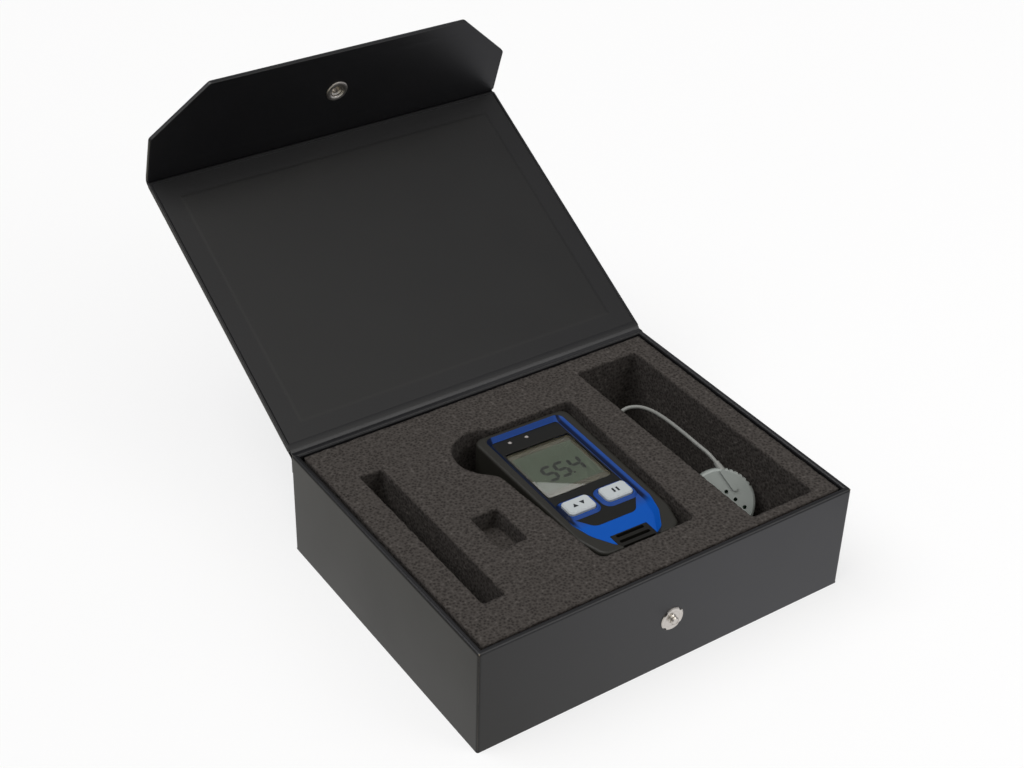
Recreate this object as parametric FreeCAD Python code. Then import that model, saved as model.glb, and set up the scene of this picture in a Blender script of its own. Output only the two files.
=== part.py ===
"""Instrument kit: a leatherette presentation case with a cut foam insert, a handheld meter
and a round vented probe on a thin lead.

Millimetres, +Z up. The origin is the middle of the case's underside, X runs along the front
edge and Y runs to the back. The lid stands open and its flap is folded in, as displayed.
"""
import FreeCAD, Part
import math
import os

V = FreeCAD.Vector
X_AXIS = V(1, 0, 0)
Y_AXIS = V(0, 1, 0)
Z_AXIS = V(0, 0, 1)
ORIGIN = V(0, 0, 0)

# Room in a hole for what goes through it, and how far a cutting shape runs past a face
ROOM = 0.1
PAST = 1.0

# Case: outside size, covering and boards
CASE_W = 210.0
CASE_D = 164.0
CASE_H = 58.0
SKIN = 0.4
WALL_BOARD = 2.2
BASE_BOARD = 2.6
TURN_IN_DEPTH = 30.0
CORNER_R = 1.0
WALL = 2 * SKIN + WALL_BOARD
FLOOR_Z = SKIN + BASE_BOARD

# Lid and flap: the lid's inner face lies in the plane of both fold lines
RIM_GAP = 0.3
HINGE_Y = 81.8
HINGE_Z = CASE_H + RIM_GAP
LID_HALF_W = 105.3
LID_LENGTH = 165.6
LID_BOARD = 2.0
LID_T = LID_BOARD + 2 * SKIN
LID_START = 1.6
FOLD_GAP = 0.8
LID_RECLINE = 28.9
LINER_INSET = 12.0
LINER_PROUD = 0.2
FLAP_FOLD = 79.85
FLAP_H = 57.6
FLAP_SIDE = 28.5
FLAP_TIP_HALF_W = 74.5
FLAP_LINER_INSET = 7.0
STRIP_T = 0.3
STRIP_CLEAR = 0.25

# Snap fastener
SNAP_DROP = 30.8
SNAP_D = 12.5
STUD_FLANGE = 0.6
STUD_LOBES = 4
LOBE_NOTCH_R = 1.7
LOBE_NOTCH_OUT = 0.8
STUD_POST_D = 4.2
STUD_POST_H = 2.7
RIVET_D = 3.0
RIVET_HEAD_D = 8.0
RIVET_HEAD_T = 0.8
SOCKET_BORE_D = 4.7
SOCKET_PROUD = 0.9
BARREL_D = 6.4
CAP_H = 1.9

# Foam: a pad and a cut block that stops just under the rim
FOAM_CLEAR = (2.2, 0.5, 2.0, 0.5)
FOAM_TOP = 56.4
FOAM_PAD = 8.5
SLOT_FLOOR = FLOOR_Z + FOAM_PAD
LONG_SLOT = (-85.2, -73.2, -54.7, 51.3)
SQUARE_HOLE = (-58.0, -43.4, -28.7, -2.7)
SQUARE_DEPTH = 11.0
SLOT_CORNER_R = 1.5
PROBE_SLOT = (52.8, 90.2, -71.7, 67.3)
PROBE_SLOT_CORNER_R = 2.5
POCKET_OUTLINE = ((-23.7, -57.6), (30.3, -57.6), (35.8, 49.9), (-31.2, 49.9))
POCKET_CORNERS = (4.0, 4.0, 3.0, 3.0)
FINGER_AT = (-21.7, 35.3)
FINGER_R = 18.5
FINGER_BLEND_R = 9.0

# Meter: its own frame has the origin under the middle of the housing, +Y to the display end
METER_AT = V(3.27, -2.2, 22.0)
METER_TURN = -1.26
METER_H = 32.0
POCKET_FLOOR = METER_AT.z - 0.1
TUB_OUTLINE = ((-21.3, -52.9), (21.3, -52.9), (25.8, -38.0), (27.2, 51.3), (-27.2, 51.3), (-25.8, -38.0))
TUB_CORNERS = (6.0, 6.0, 12.0, 5.0, 5.0, 12.0)
TUB_WALL = 2.0
TUB_CHAMFER = 2.0
TUB_RIM_R = 1.6
CAP_OUTLINE = (
    (-12.6, -50.0), (12.6, -50.0), (19.3, -39.0), (22.2, -28.0),
    (22.2, 48.5), (-22.2, 48.5), (-22.2, -28.0), (-19.3, -39.0),
)
CAP_CORNERS = (3.0, 3.0, 14.0, 14.0, 4.0, 4.0, 14.0, 14.0)
CAP_SKIRT_Z = 24.0
CAP_WALL = 1.8
CAP_SEAT = 0.15
# The bezel slopes in from the rim to the sunk face, and both run out through the open nose
BEZEL_DROP = 2.3
RIM_W = 0.3
RIM_OUTLINE = ((-5.3, -62.0), (5.3, -62.0)) + CAP_OUTLINE[2:]
RIM_CORNERS = (2.0, 2.0) + CAP_CORNERS[2:]
SUNK_OUTLINE = (
    (-3.2, -62.0), (3.2, -62.0), (16.9, -38.4), (19.65, -27.0),
    (19.65, 46.8), (-19.65, 46.8), (-19.65, -27.0), (-16.9, -38.4),
)
SUNK_CORNERS = (1.5, 1.5, 11.0, 11.0, 2.5, 2.5, 11.0, 11.0)
FACE_Z = METER_H - BEZEL_DROP
OVERLAY_OUTLINE = ((-11.5, -32.0), (11.5, -32.0), (19.4, -20.5), (19.4, 46.5), (-19.4, 46.5), (-19.4, -20.5))
OVERLAY_CORNERS = (5.0, 5.0, 5.0, 2.0, 2.0, 5.0)
OVERLAY_T = 0.4
WINDOW_SIZE = (37.0, 39.0)
WINDOW_Y = 16.0
WINDOW_R = 1.5
WINDOW_LIP = 0.9
WINDOW_T = 1.1
RECESS_Z = FACE_Z - OVERLAY_T
PLATE_Z = RECESS_Z - WINDOW_T
LCD_T = 2.6
LCD_BORDER = 1.0
LCD_R = 0.5
CONNECTOR = (34.0, 2.4, 2.0)
KEY_X = 10.55
KEY_Y = -16.45
KEY_SIZE = (15.0, 10.0)
KEY_R = 2.2
KEY_CLEAR = 0.3
KEY_PROUD = 0.2
KEY_TRAVEL = 0.8
KEY_DEPTH = 3.0
KEY_BEVEL = 0.65
KEY_FLANGE = 1.0
MEMBRANE_SIZE = (35.5, 13.0, 0.8)
DOME_R = (4.4, 3.0)
COLLAR_FOOT = 2.3
COLLAR_RIM = 1.2
COLLAR_H = 1.0
LED_X = (-10.4, -0.6)
LED_Y = 43.1
LED_D = 2.2
LED_BASE = (1.5, 4.0)
LED_EASE = 0.35
GRILLE_HALF_W = 10.3
GRILLE_Y = (-52.6, -41.3)
GRILLE_T = 1.6
GRILLE_R = 1.2
GRILLE_FLANGE = 1.1
VENT_STEP = 4.0
VENT_LAST = -50.8
VENT_LENGTHS = (18.6, 17.0, 15.6)
VENT_W = 1.9
PCB_SIZE = (41.0, 88.0, 1.6)
PCB_Y = 0.5
PCB_Z = 19.0
BOSS_X = 17.5
BOSS_Y = (40.0, -29.0)
BOSS_D = 5.0
SCREW_D = 2.2
SCREW_HEAD_D = 4.2
SCREW_HEAD_T = 1.6
SCREW_BITE = 5.5
CROSS_SIZE = (2.4, 0.5, 0.9)
SENSOR_SIZE = (9.0, 6.0, 3.2)
SENSOR_R = 0.8
SENSOR_Y = -40.0
SENSOR_HOLE_D = 1.2
SENSOR_HOLE_STEP = 2.5
JACK_X = (-26.6, -24.6, -12.2)
JACK_Y = 19.0
JACK_Z = PCB_Z - 3.4
JACK_D = 6.0
JACK_HALF_W = 3.2
BATTERY_D = 14.3
BATTERY_L = 25.0
BATTERY_Y = 12.0
BATTERY_NUB = (3.2, 1.2)
BATTERY_EASE = 0.8
CONTACT_W = 10.0
CONTACT_T = 0.4
DOOR_SIZE = (22.0, 42.0)
DOOR_CLEAR = 0.15
DOOR_R = 2.0
GROOVE_COUNT = 4
GROOVE_FIRST = 5.0
GROOVE_STEP = 2.2
GROOVE_SIZE = (12.0, 1.0, 0.5)

# Probe: its own frame has the origin in the middle of the vented face, +Z out of that face
PROBE_AT = V(70.5, -31.6, 30.6)
PROBE_LEAN = 55.4
PROBE_TURN = -35.0
PROBE_D = 33.5
PROBE_FRONT_T = 4.5
PROBE_BACK_T = 4.0
PROBE_WALL = 1.6
PROBE_EASE = 1.2
PROBE_BACK_FLOOR = 2.0
PROBE_BACK_BEVEL = 1.0
PROBE_BOARD_T = 1.2
PROBE_CHIP = (3.0, 1.1)
SCALLOP_R = 0.85
SCALLOP_OUT = 0.1
SCALLOP_ARC = (33.0, 87.0)
SCALLOP_COUNT = 7
HOLE_D = 2.0
HOLE_FIRST = V(2.2, 5.3, 0)
HOLE_STEP = V(4.6, -3.65, 0)
HOLE_ROWS = 3
RIB_START = V(-0.4, 16.0, 0)
RIB_END = V(6.2, 7.2, 0)
RIB_W = 2.6
RIB_H = 1.1
LEAD_DEPTH = 2.3
LEAD_DIRECTION = V(-0.6, 0.8, -0.2)
BOOT_L = 4.5
BOOT_INSIDE = 3.5
BOOT_D = (3.6, 2.8)

# Lead: its free stretch, coil, tail and plug
LEAD_D = 2.0
LEAD_EXIT_RUN = 5.0
LEAD_ROUTE = (
    (74.4, -6.5, 49.2),
    (75.6, 6.8, 48.8),
    (77.8, 23.5, 46.4),
    (78.2, 36.5, 44.2),
    (75.5, 44.5, 42.6),
    (69.0, 48.0, 41.0),
    (61.2, 44.5, 36.2),
    (57.0, 37.0, 29.6),
    (56.2, 27.5, 22.6),
)
COIL_AT = V(71.0, 8.0, 0)
COIL_TURNS = 3
COIL_R = 14.9
COIL_PITCH = 2.5
TIE_T = 0.5
TIE_W = 3.0
TIE_CLEAR = 0.15
COIL_LOW_Z = SLOT_FLOOR + 0.05 + TIE_T + TIE_CLEAR + LEAD_D / 2
COIL_HIGH_Z = COIL_LOW_Z + COIL_PITCH
COIL_END = LEAD_D
COIL_RUN_IN = 8.0
COIL_RUN_OUT = 6.0
PLUG_X = 80.0
PLUG_START = 35.2
PLUG_R = 3.9
PLUG_Z = SLOT_FLOOR + 0.1 + PLUG_R
PLUG_BOOT_L = 6.0
PLUG_BODY_L = 12.0
PIN_D = 3.5
PIN_L = 13.2
RIB_STEP = 2.0
PLUG_RIBS = 4
PLUG_EASE = 0.5
PIN_MARKS = (1.3, 0.63, 0.4)
TAIL_ROUTE = (
    (84.5, 22.0, 13.8),
    (81.5, 27.0, 15.0),
    (PLUG_X, 32.5, PLUG_Z),
    (PLUG_X, PLUG_START, PLUG_Z),
)


def box(x0, x1, y0, y1, z0, z1):
    """Block between two corners."""
    return Part.makeBox(x1 - x0, y1 - y0, z1 - z0, V(x0, y0, z0))


def centred_box(half_x, half_y, z0, z1):
    """Block centred on the Z axis."""
    return box(-half_x, half_x, -half_y, half_y, z0, z1)


def rod(diameter, start, end):
    """Round bar from one point to another."""
    run = end - start
    return Part.makeCylinder(diameter / 2, run.Length, start, run)


def inset(points, distance):
    """Corners of a convex outline (anticlockwise) with every side moved in by a distance."""
    count = len(points)
    moved = []
    for i in range(count):
        a, b, c = (V(*points[(i + k) % count], 0) for k in (-1, 0, 1))
        before = (b - a).normalize()
        after = (c - b).normalize()
        side_a = V(-before.y, before.x, 0)
        side_b = V(-after.y, after.x, 0)
        shift = (side_a + side_b) * (distance / (1 + side_a.dot(side_b)))
        corner = b + shift
        moved.append((corner.x, corner.y))
    return moved


def outline(points, radii, z, inward=0.0):
    """Closed wire of straight sides joined by tangent arcs, one radius for each corner."""
    corners = [V(x, y, z) for x, y in inset(points, inward)]
    count = len(corners)
    ends = []
    for i, corner in enumerate(corners):
        before = (corners[i - 1] - corner).normalize()
        after = (corners[(i + 1) % count] - corner).normalize()
        half = math.acos(max(-1.0, min(1.0, before.dot(after)))) / 2
        radius = max(radii[i] - inward, 0.4)
        reach = radius / math.tan(half)
        middle = (before + after).normalize() * (radius / math.sin(half) - radius)
        ends.append((corner + before * reach, corner + middle, corner + after * reach))
    edges = []
    for i, (start, middle, end) in enumerate(ends):
        edges.append(Part.Arc(start, middle, end).toShape())
        edges.append(Part.LineSegment(end, ends[(i + 1) % count][0]).toShape())
    return Part.Wire(edges)


def prism(points, radii, z0, z1, inward=0.0):
    """Straight-sided solid on a rounded outline."""
    face = Part.Face(outline(points, radii, z0, inward))
    return face.extrude(V(0, 0, z1 - z0))


def rectangle(width, length, at_x=0.0, at_y=0.0):
    """Anticlockwise corners of a rectangle."""
    x0, x1 = at_x - width / 2, at_x + width / 2
    y0, y1 = at_y - length / 2, at_y + length / 2
    return ((x0, y0), (x1, y0), (x1, y1), (x0, y1))


def revolve(profile, start, direction):
    """Solid turned from (radius, height) points about an axis through start."""
    wire = Part.makePolygon([V(r, 0, h) for r, h in profile] + [V(profile[0][0], 0, profile[0][1])])
    solid = Part.Face(wire).revolve(ORIGIN, Z_AXIS, 360)
    solid.Placement = FreeCAD.Placement(start, FreeCAD.Rotation(Z_AXIS, direction))
    return solid


def save(name, shape):
    """Write one sub-part."""
    if not shape.isValid():
        raise ValueError(name + " is not a valid solid")
    shape.exportStep("parts/" + name + ".step")


# Tray

def tray():
    """Wall boards on a base board, wrapped in one skin that turns over the rim."""
    half_w, half_d = CASE_W / 2, CASE_D / 2
    rim_z = CASE_H - SKIN
    board_w, board_d = half_w - SKIN, half_d - SKIN
    inner_w, inner_d = half_w - WALL, half_d - WALL
    lining_w, lining_d = inner_w + SKIN, inner_d + SKIN

    outer = centred_box(half_w, half_d, SKIN, CASE_H)
    upright = [e for e in outer.Edges if abs(e.tangentAt(0).z) > 0.9]
    outer = outer.makeFillet(CORNER_R, upright)
    wrap = outer.cut(centred_box(board_w, board_d, SKIN, rim_z))
    wrap = wrap.cut(centred_box(inner_w, inner_d, rim_z, CASE_H))
    turn_in_z = CASE_H - TURN_IN_DEPTH
    lining = centred_box(lining_w, lining_d, turn_in_z, rim_z)
    lining = lining.cut(centred_box(inner_w, inner_d, turn_in_z, rim_z))
    wrap = wrap.fuse(lining).removeSplitter()

    snap_z = HINGE_Z - SNAP_DROP
    shank = rod(RIVET_D + ROOM, V(0, -half_d, snap_z), V(0, -inner_d, snap_z))
    head_y = -lining_d
    head_seat = rod(RIVET_HEAD_D + 2 * ROOM, V(0, head_y - RIVET_HEAD_T, snap_z), V(0, head_y, snap_z))
    front = box(-board_w, board_w, -board_d, -lining_d, FLOOR_Z, rim_z)
    save("tray_cover", wrap.cut(shank))
    save("front_board", front.cut(shank).cut(head_seat))
    save("back_board", box(-board_w, board_w, lining_d, board_d, FLOOR_Z, rim_z))
    save("left_board", box(-board_w, -lining_w, -lining_d, lining_d, FLOOR_Z, rim_z))
    save("right_board", box(lining_w, board_w, -lining_d, lining_d, FLOOR_Z, rim_z))
    save("base_board", centred_box(board_w, board_d, SKIN, FLOOR_Z))
    base = centred_box(half_w, half_d, 0, SKIN)
    upright = [e for e in base.Edges if abs(e.tangentAt(0).z) > 0.9]
    save("base_cover", base.makeFillet(CORNER_R, upright))


def snap_on_front():
    """Stud on a four-lobed flange outside the front wall, and the rivet that holds it."""
    face = V(0, -CASE_D / 2, HINGE_Z - SNAP_DROP)
    out = V(0, -1, 0)
    half = SNAP_D / 2
    bore = (RIVET_D + ROOM) / 2
    profile = (
        (bore, 0), (half, 0), (half, 0.25), (half - 0.5, STUD_FLANGE), (half - 2.0, STUD_FLANGE),
        (half - 2.6, 0.4), (STUD_POST_D / 2 + 0.3, 0.4), (STUD_POST_D / 2 - 0.2, 1.0),
        (STUD_POST_D / 2, STUD_POST_H - 0.7), (STUD_POST_D / 2 - 0.5, STUD_POST_H), (bore, STUD_POST_H),
    )
    stud = revolve(profile, face, out)
    for i in range(STUD_LOBES):
        angle = 2 * math.pi * (i + 0.5) / STUD_LOBES
        at = face + V(math.cos(angle), 0, math.sin(angle)) * (half + LOBE_NOTCH_OUT)
        stud = stud.cut(rod(2 * LOBE_NOTCH_R, at, at + out * PAST))
    save("snap_stud", stud)
    head_inner = CASE_D / 2 - WALL + SKIN
    back = V(0, -head_inner, face.z)
    wall = CASE_D / 2 - head_inner
    shank = RIVET_D / 2
    profile = (
        (0, 0), (RIVET_HEAD_D / 2, 0), (RIVET_HEAD_D / 2, RIVET_HEAD_T), (shank, RIVET_HEAD_T),
        (shank, wall + STUD_POST_H - 0.1), (0, wall + STUD_POST_H - 0.1),
    )
    save("snap_rivet", revolve(profile, back, out))


# Lid and flap, built lying flat behind the hinge line and then turned up

def stand_lid(shape):
    """Turn a flat lid piece up to the displayed angle and set it on the hinge line."""
    turned = shape.copy()
    turned.rotate(ORIGIN, X_AXIS, LID_RECLINE)
    turned.translate(V(0, HINGE_Y, HINGE_Z))
    return turned


def stand_flap(shape):
    """Fold a flat flap piece in about the lid's front fold, then stand it with the lid."""
    turned = shape.copy()
    turned.rotate(V(0, LID_LENGTH, 0), X_AXIS, FLAP_FOLD)
    return stand_lid(turned)


def wrapped_board(points, radii, liner_inset):
    """Cover, board and liner of one flat panel: the cover wraps the board and turns in."""
    cover = prism(points, radii, -LID_T, 0)
    board = prism(points, radii, SKIN - LID_T, -SKIN, SKIN)
    window = prism(points, radii, -SKIN, 0, liner_inset)
    liner = prism(points, radii, -SKIN, LINER_PROUD, liner_inset)
    return cover.cut(board).cut(window), board, liner


def lid():
    """Lid panel with its liner, and the bending strip at the hinge."""
    y0, y1 = LID_START, LID_LENGTH - FOLD_GAP
    points = ((-LID_HALF_W, y0), (LID_HALF_W, y0), (LID_HALF_W, y1), (-LID_HALF_W, y1))
    cover, board, liner = wrapped_board(points, (1.0,) * 4, LINER_INSET)
    save("lid_cover", stand_lid(cover))
    save("lid_board", stand_lid(board))
    save("lid_liner", stand_lid(liner))
    strip = box(-LID_HALF_W + 0.5, LID_HALF_W - 0.5, STRIP_CLEAR, LID_START, -STRIP_T, 0)
    save("lid_hinge_strip", stand_lid(strip))


def flap():
    """Chamfered flap with its liner, bending strip, and both halves of its snap."""
    y0 = LID_LENGTH + FOLD_GAP
    side, tip = LID_LENGTH + FLAP_SIDE, LID_LENGTH + FLAP_H
    points = (
        (-LID_HALF_W, y0), (LID_HALF_W, y0), (LID_HALF_W, side),
        (FLAP_TIP_HALF_W, tip), (-FLAP_TIP_HALF_W, tip), (-LID_HALF_W, side),
    )
    snap = V(0, LID_LENGTH + SNAP_DROP, 0)
    barrel_hole = rod(BARREL_D + ROOM, snap + V(0, 0, -LID_T), snap + V(0, 0, PAST))
    radii = (1.0, 1.0, 3.0, 3.0, 3.0, 3.0)
    cover, board, liner = wrapped_board(points, radii, FLAP_LINER_INSET)
    save("flap_cover", stand_flap(cover.cut(barrel_hole)))
    save("flap_board", stand_flap(board.cut(barrel_hole)))
    save("flap_liner", stand_flap(liner.cut(barrel_hole)))
    strip = box(-LID_HALF_W + 0.5, LID_HALF_W - 0.5, LID_LENGTH + STRIP_CLEAR, y0, -STRIP_T, 0)
    save("flap_hinge_strip", stand_flap(strip))

    bore, barrel, half = SOCKET_BORE_D / 2, BARREL_D / 2, SNAP_D / 2
    profile = (
        (bore, -LID_T), (barrel, -LID_T), (barrel, LINER_PROUD), (half, LINER_PROUD),
        (half - 0.1, LINER_PROUD + 0.3), (half - 0.5, SOCKET_PROUD - 0.12), (half - 1.1, SOCKET_PROUD),
        (half - 1.8, SOCKET_PROUD - 0.12), (half - 2.4, SOCKET_PROUD - 0.5), (half - 2.9, LINER_PROUD - 0.3),
        (bore + 0.3, -SKIN - LINER_PROUD), (bore, -SKIN - 2 * LINER_PROUD),
    )
    save("snap_socket", stand_flap(revolve(profile, snap, Z_AXIS)))
    outside = snap + V(0, 0, -LID_T)
    profile = (
        (0, 0), (half + 0.3, 0), (half + 0.3, 0.5), (half - 0.8, 1.2), (half - 2.6, 1.7), (0, CAP_H),
    )
    save("snap_cap", stand_flap(revolve(profile, outside, V(0, 0, -1))))


# Foam

def slot(limits, radius, floor_z):
    """Knife-cut hole with slightly rounded upright corners, open at the top."""
    x0, x1, y0, y1 = limits
    points = ((x0, y0), (x1, y0), (x1, y1), (x0, y1))
    return prism(points, (radius,) * 4, floor_z, FOAM_TOP + PAST)


def meter_pocket():
    """Tapered pocket with a round finger recess beside the display end, its lower throat eased."""
    pocket = prism(POCKET_OUTLINE, POCKET_CORNERS, POCKET_FLOOR, FOAM_TOP + PAST)
    height = FOAM_TOP + PAST - POCKET_FLOOR
    finger = Part.makeCylinder(FINGER_R, height, V(*FINGER_AT, POCKET_FLOOR))
    cut = pocket.fuse(finger).removeSplitter()
    throat = [e for e in cut.Edges if is_throat(e)]
    return cut.makeFillet(FINGER_BLEND_R, throat)


def is_throat(edge):
    """The upright edge where the finger recess meets the pocket's long side, in front of it."""
    low, high = edge.BoundBox.ZMin, edge.BoundBox.ZMax
    middle = edge.CenterOfMass
    upright = high - low > 1 and edge.BoundBox.DiagonalLength - (high - low) < 0.01
    return upright and middle.x < FINGER_AT[0] - 1 and middle.y < FINGER_AT[1]


def foam():
    """Base pad, and the block with its five cut-outs."""
    left, right, front, back = FOAM_CLEAR
    inner_w, inner_d = CASE_W / 2 - WALL, CASE_D / 2 - WALL
    sides = (left - inner_w, inner_w - right, front - inner_d, inner_d - back)
    block = box(*sides, SLOT_FLOOR, FOAM_TOP)
    block = block.cut(slot(LONG_SLOT, SLOT_CORNER_R, SLOT_FLOOR))
    block = block.cut(slot(SQUARE_HOLE, SLOT_CORNER_R, FOAM_TOP - SQUARE_DEPTH))
    block = block.cut(slot(PROBE_SLOT, PROBE_SLOT_CORNER_R, SLOT_FLOOR))
    save("foam_insert", block.cut(meter_pocket()))
    save("foam_base", box(*sides, FLOOR_Z, SLOT_FLOOR))


# Meter

def seat(shape):
    """Move a meter piece from the meter's own frame into its pocket."""
    placed = shape.copy()
    placed.rotate(ORIGIN, Z_AXIS, METER_TURN)
    placed.translate(METER_AT)
    return placed


def sunk_face():
    """Space inside the bezel: level with the face below, spreading to the rim above, open at the nose."""
    low = outline(SUNK_OUTLINE, SUNK_CORNERS, FACE_Z)
    high = outline(RIM_OUTLINE, RIM_CORNERS, METER_H, RIM_W)
    return Part.makeLoft([low, high], True, True)


def key_points(side, grow):
    """Corners of one key's outline, grown all round."""
    width, length = KEY_SIZE
    return rectangle(width + 2 * grow, length + 2 * grow, side * KEY_X, KEY_Y)


def boss_places():
    """Centres of the four screw bosses."""
    return [V(side * BOSS_X, y, 0) for side in (-1, 1) for y in BOSS_Y]


def front_shell():
    """Moulded cap: sloping bezel, sunk face, window, key collars, lamp holes and a notch for the grille."""
    body = prism(CAP_OUTLINE, CAP_CORNERS, CAP_SKIRT_Z, METER_H).cut(sunk_face())
    body = body.cut(prism(CAP_OUTLINE, CAP_CORNERS, CAP_SKIRT_Z, PLATE_Z, CAP_WALL))
    body = body.cut(prism(OVERLAY_OUTLINE, OVERLAY_CORNERS, RECESS_Z, METER_H + PAST))
    for side in (-1, 1):
        foot, foot_r = key_points(side, COLLAR_FOOT), (KEY_R + COLLAR_FOOT,) * 4
        rim, rim_r = key_points(side, COLLAR_RIM), (KEY_R + COLLAR_RIM,) * 4
        ends = [outline(foot, foot_r, FACE_Z), outline(rim, rim_r, FACE_Z + COLLAR_H)]
        collar = prism(foot, foot_r, PLATE_Z, FACE_Z).fuse(Part.makeLoft(ends, True, True))
        hole_r = KEY_R + KEY_CLEAR
        hole = prism(key_points(side, KEY_CLEAR), (hole_r,) * 4, PLATE_Z - PAST, METER_H + PAST)
        body = body.fuse(collar).cut(hole)
    width, length = WINDOW_SIZE
    window = rectangle(width + 2 * WINDOW_LIP, length + 2 * WINDOW_LIP, 0, WINDOW_Y)
    body = body.cut(prism(window, (WINDOW_R,) * 4, PLATE_Z - PAST, RECESS_Z))
    for x in LED_X:
        body = body.cut(rod(LED_D + ROOM, V(x, LED_Y, PLATE_Z - PAST), V(x, LED_Y, METER_H)))
    body = body.cut(grille_notch())
    for place in boss_places():
        top = V(place.x, place.y, PLATE_Z)
        foot = V(place.x, place.y, PCB_Z + PCB_SIZE[2])
        thread = rod(SCREW_D + ROOM, foot, foot + V(0, 0, SCREW_BITE + ROOM))
        body = body.fuse(rod(BOSS_D, foot, top)).cut(thread)
    save("front_shell", seat(body.removeSplitter()))


def grille_notch():
    """Opening for the vent grille, from the face down past its flange and out through the nose."""
    half, (front, back) = GRILLE_HALF_W + ROOM, GRILLE_Y
    plate = box(-half, half, front - PAST, back + ROOM, FACE_Z - GRILLE_T, METER_H)
    wide = half + GRILLE_FLANGE
    below = FACE_Z - GRILLE_T
    return plate.fuse(box(-wide, wide, front - PAST, back + ROOM + GRILLE_FLANGE, CAP_SKIRT_Z - PAST, below))


def vent_grille():
    """Dark insert at the nose: three slots, longest in front, and a flange that the cap holds down."""
    front, back = GRILLE_Y
    low = FACE_Z - GRILLE_T
    half = GRILLE_HALF_W
    plate = ((-half, front), (half, front), (half, back), (-half, back))
    grille = prism(plate, (GRILLE_R,) * 4, low, FACE_Z)
    wide, inside = half + GRILLE_FLANGE, TUB_OUTLINE[0][1] + TUB_WALL + CAP_SEAT + CAP_WALL
    grille = grille.fuse(box(-wide, wide, inside, back + GRILLE_FLANGE, low - GRILLE_FLANGE, low))
    for i, length in enumerate(VENT_LENGTHS):
        slot_y = VENT_LAST + VENT_STEP * i
        vent = prism(rectangle(length, VENT_W, 0, slot_y), (VENT_W / 2 - 0.05,) * 4, 0, METER_H)
        grille = grille.cut(vent)
    save("vent_grille", seat(grille.removeSplitter()))


def rear_shell():
    """Moulded tub: chamfered foot, rounded rim level with the cap, posts and a battery opening."""
    foot = Part.makeLoft([
        outline(TUB_OUTLINE, TUB_CORNERS, 0, TUB_CHAMFER),
        outline(TUB_OUTLINE, TUB_CORNERS, TUB_CHAMFER),
    ], True, True)
    body = foot.fuse(prism(TUB_OUTLINE, TUB_CORNERS, TUB_CHAMFER, METER_H)).removeSplitter()
    rim = [e for e in body.Edges if e.BoundBox.ZMin > METER_H - ROOM]
    body = body.makeFillet(TUB_RIM_R, rim)
    body = body.cut(prism(TUB_OUTLINE, TUB_CORNERS, TUB_WALL, METER_H - TUB_WALL, TUB_WALL))
    body = body.cut(prism(CAP_OUTLINE, CAP_CORNERS, METER_H - TUB_WALL - PAST, METER_H + PAST, -CAP_SEAT))
    body = body.cut(sunk_face())
    half, (front, back) = GRILLE_HALF_W + ROOM, GRILLE_Y
    body = body.cut(box(-half, half, front - ROOM, back, FACE_Z - GRILLE_T, METER_H))
    for place in boss_places():
        body = body.fuse(rod(BOSS_D, place + V(0, 0, TUB_WALL), place + V(0, 0, PCB_Z)))
        body = body.cut(rod(SCREW_D + 3 * ROOM, place, place + V(0, 0, PCB_Z)))
        body = body.cut(rod(SCREW_HEAD_D + 3 * ROOM, place, place + V(0, 0, SCREW_HEAD_T)))
    width, length = DOOR_SIZE
    opening = rectangle(width + 2 * DOOR_CLEAR, length + 2 * DOOR_CLEAR, 0, BATTERY_Y)
    body = body.cut(prism(opening, (DOOR_R,) * 4, -PAST, TUB_WALL + PAST))
    mouth, shoulder, _ = JACK_X
    outside, inside = V(mouth - PAST, JACK_Y, JACK_Z), V(shoulder + PAST, JACK_Y, JACK_Z)
    body = body.cut(rod(JACK_D + 3 * ROOM, outside, inside))
    save("rear_shell", seat(body.removeSplitter()))


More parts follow.
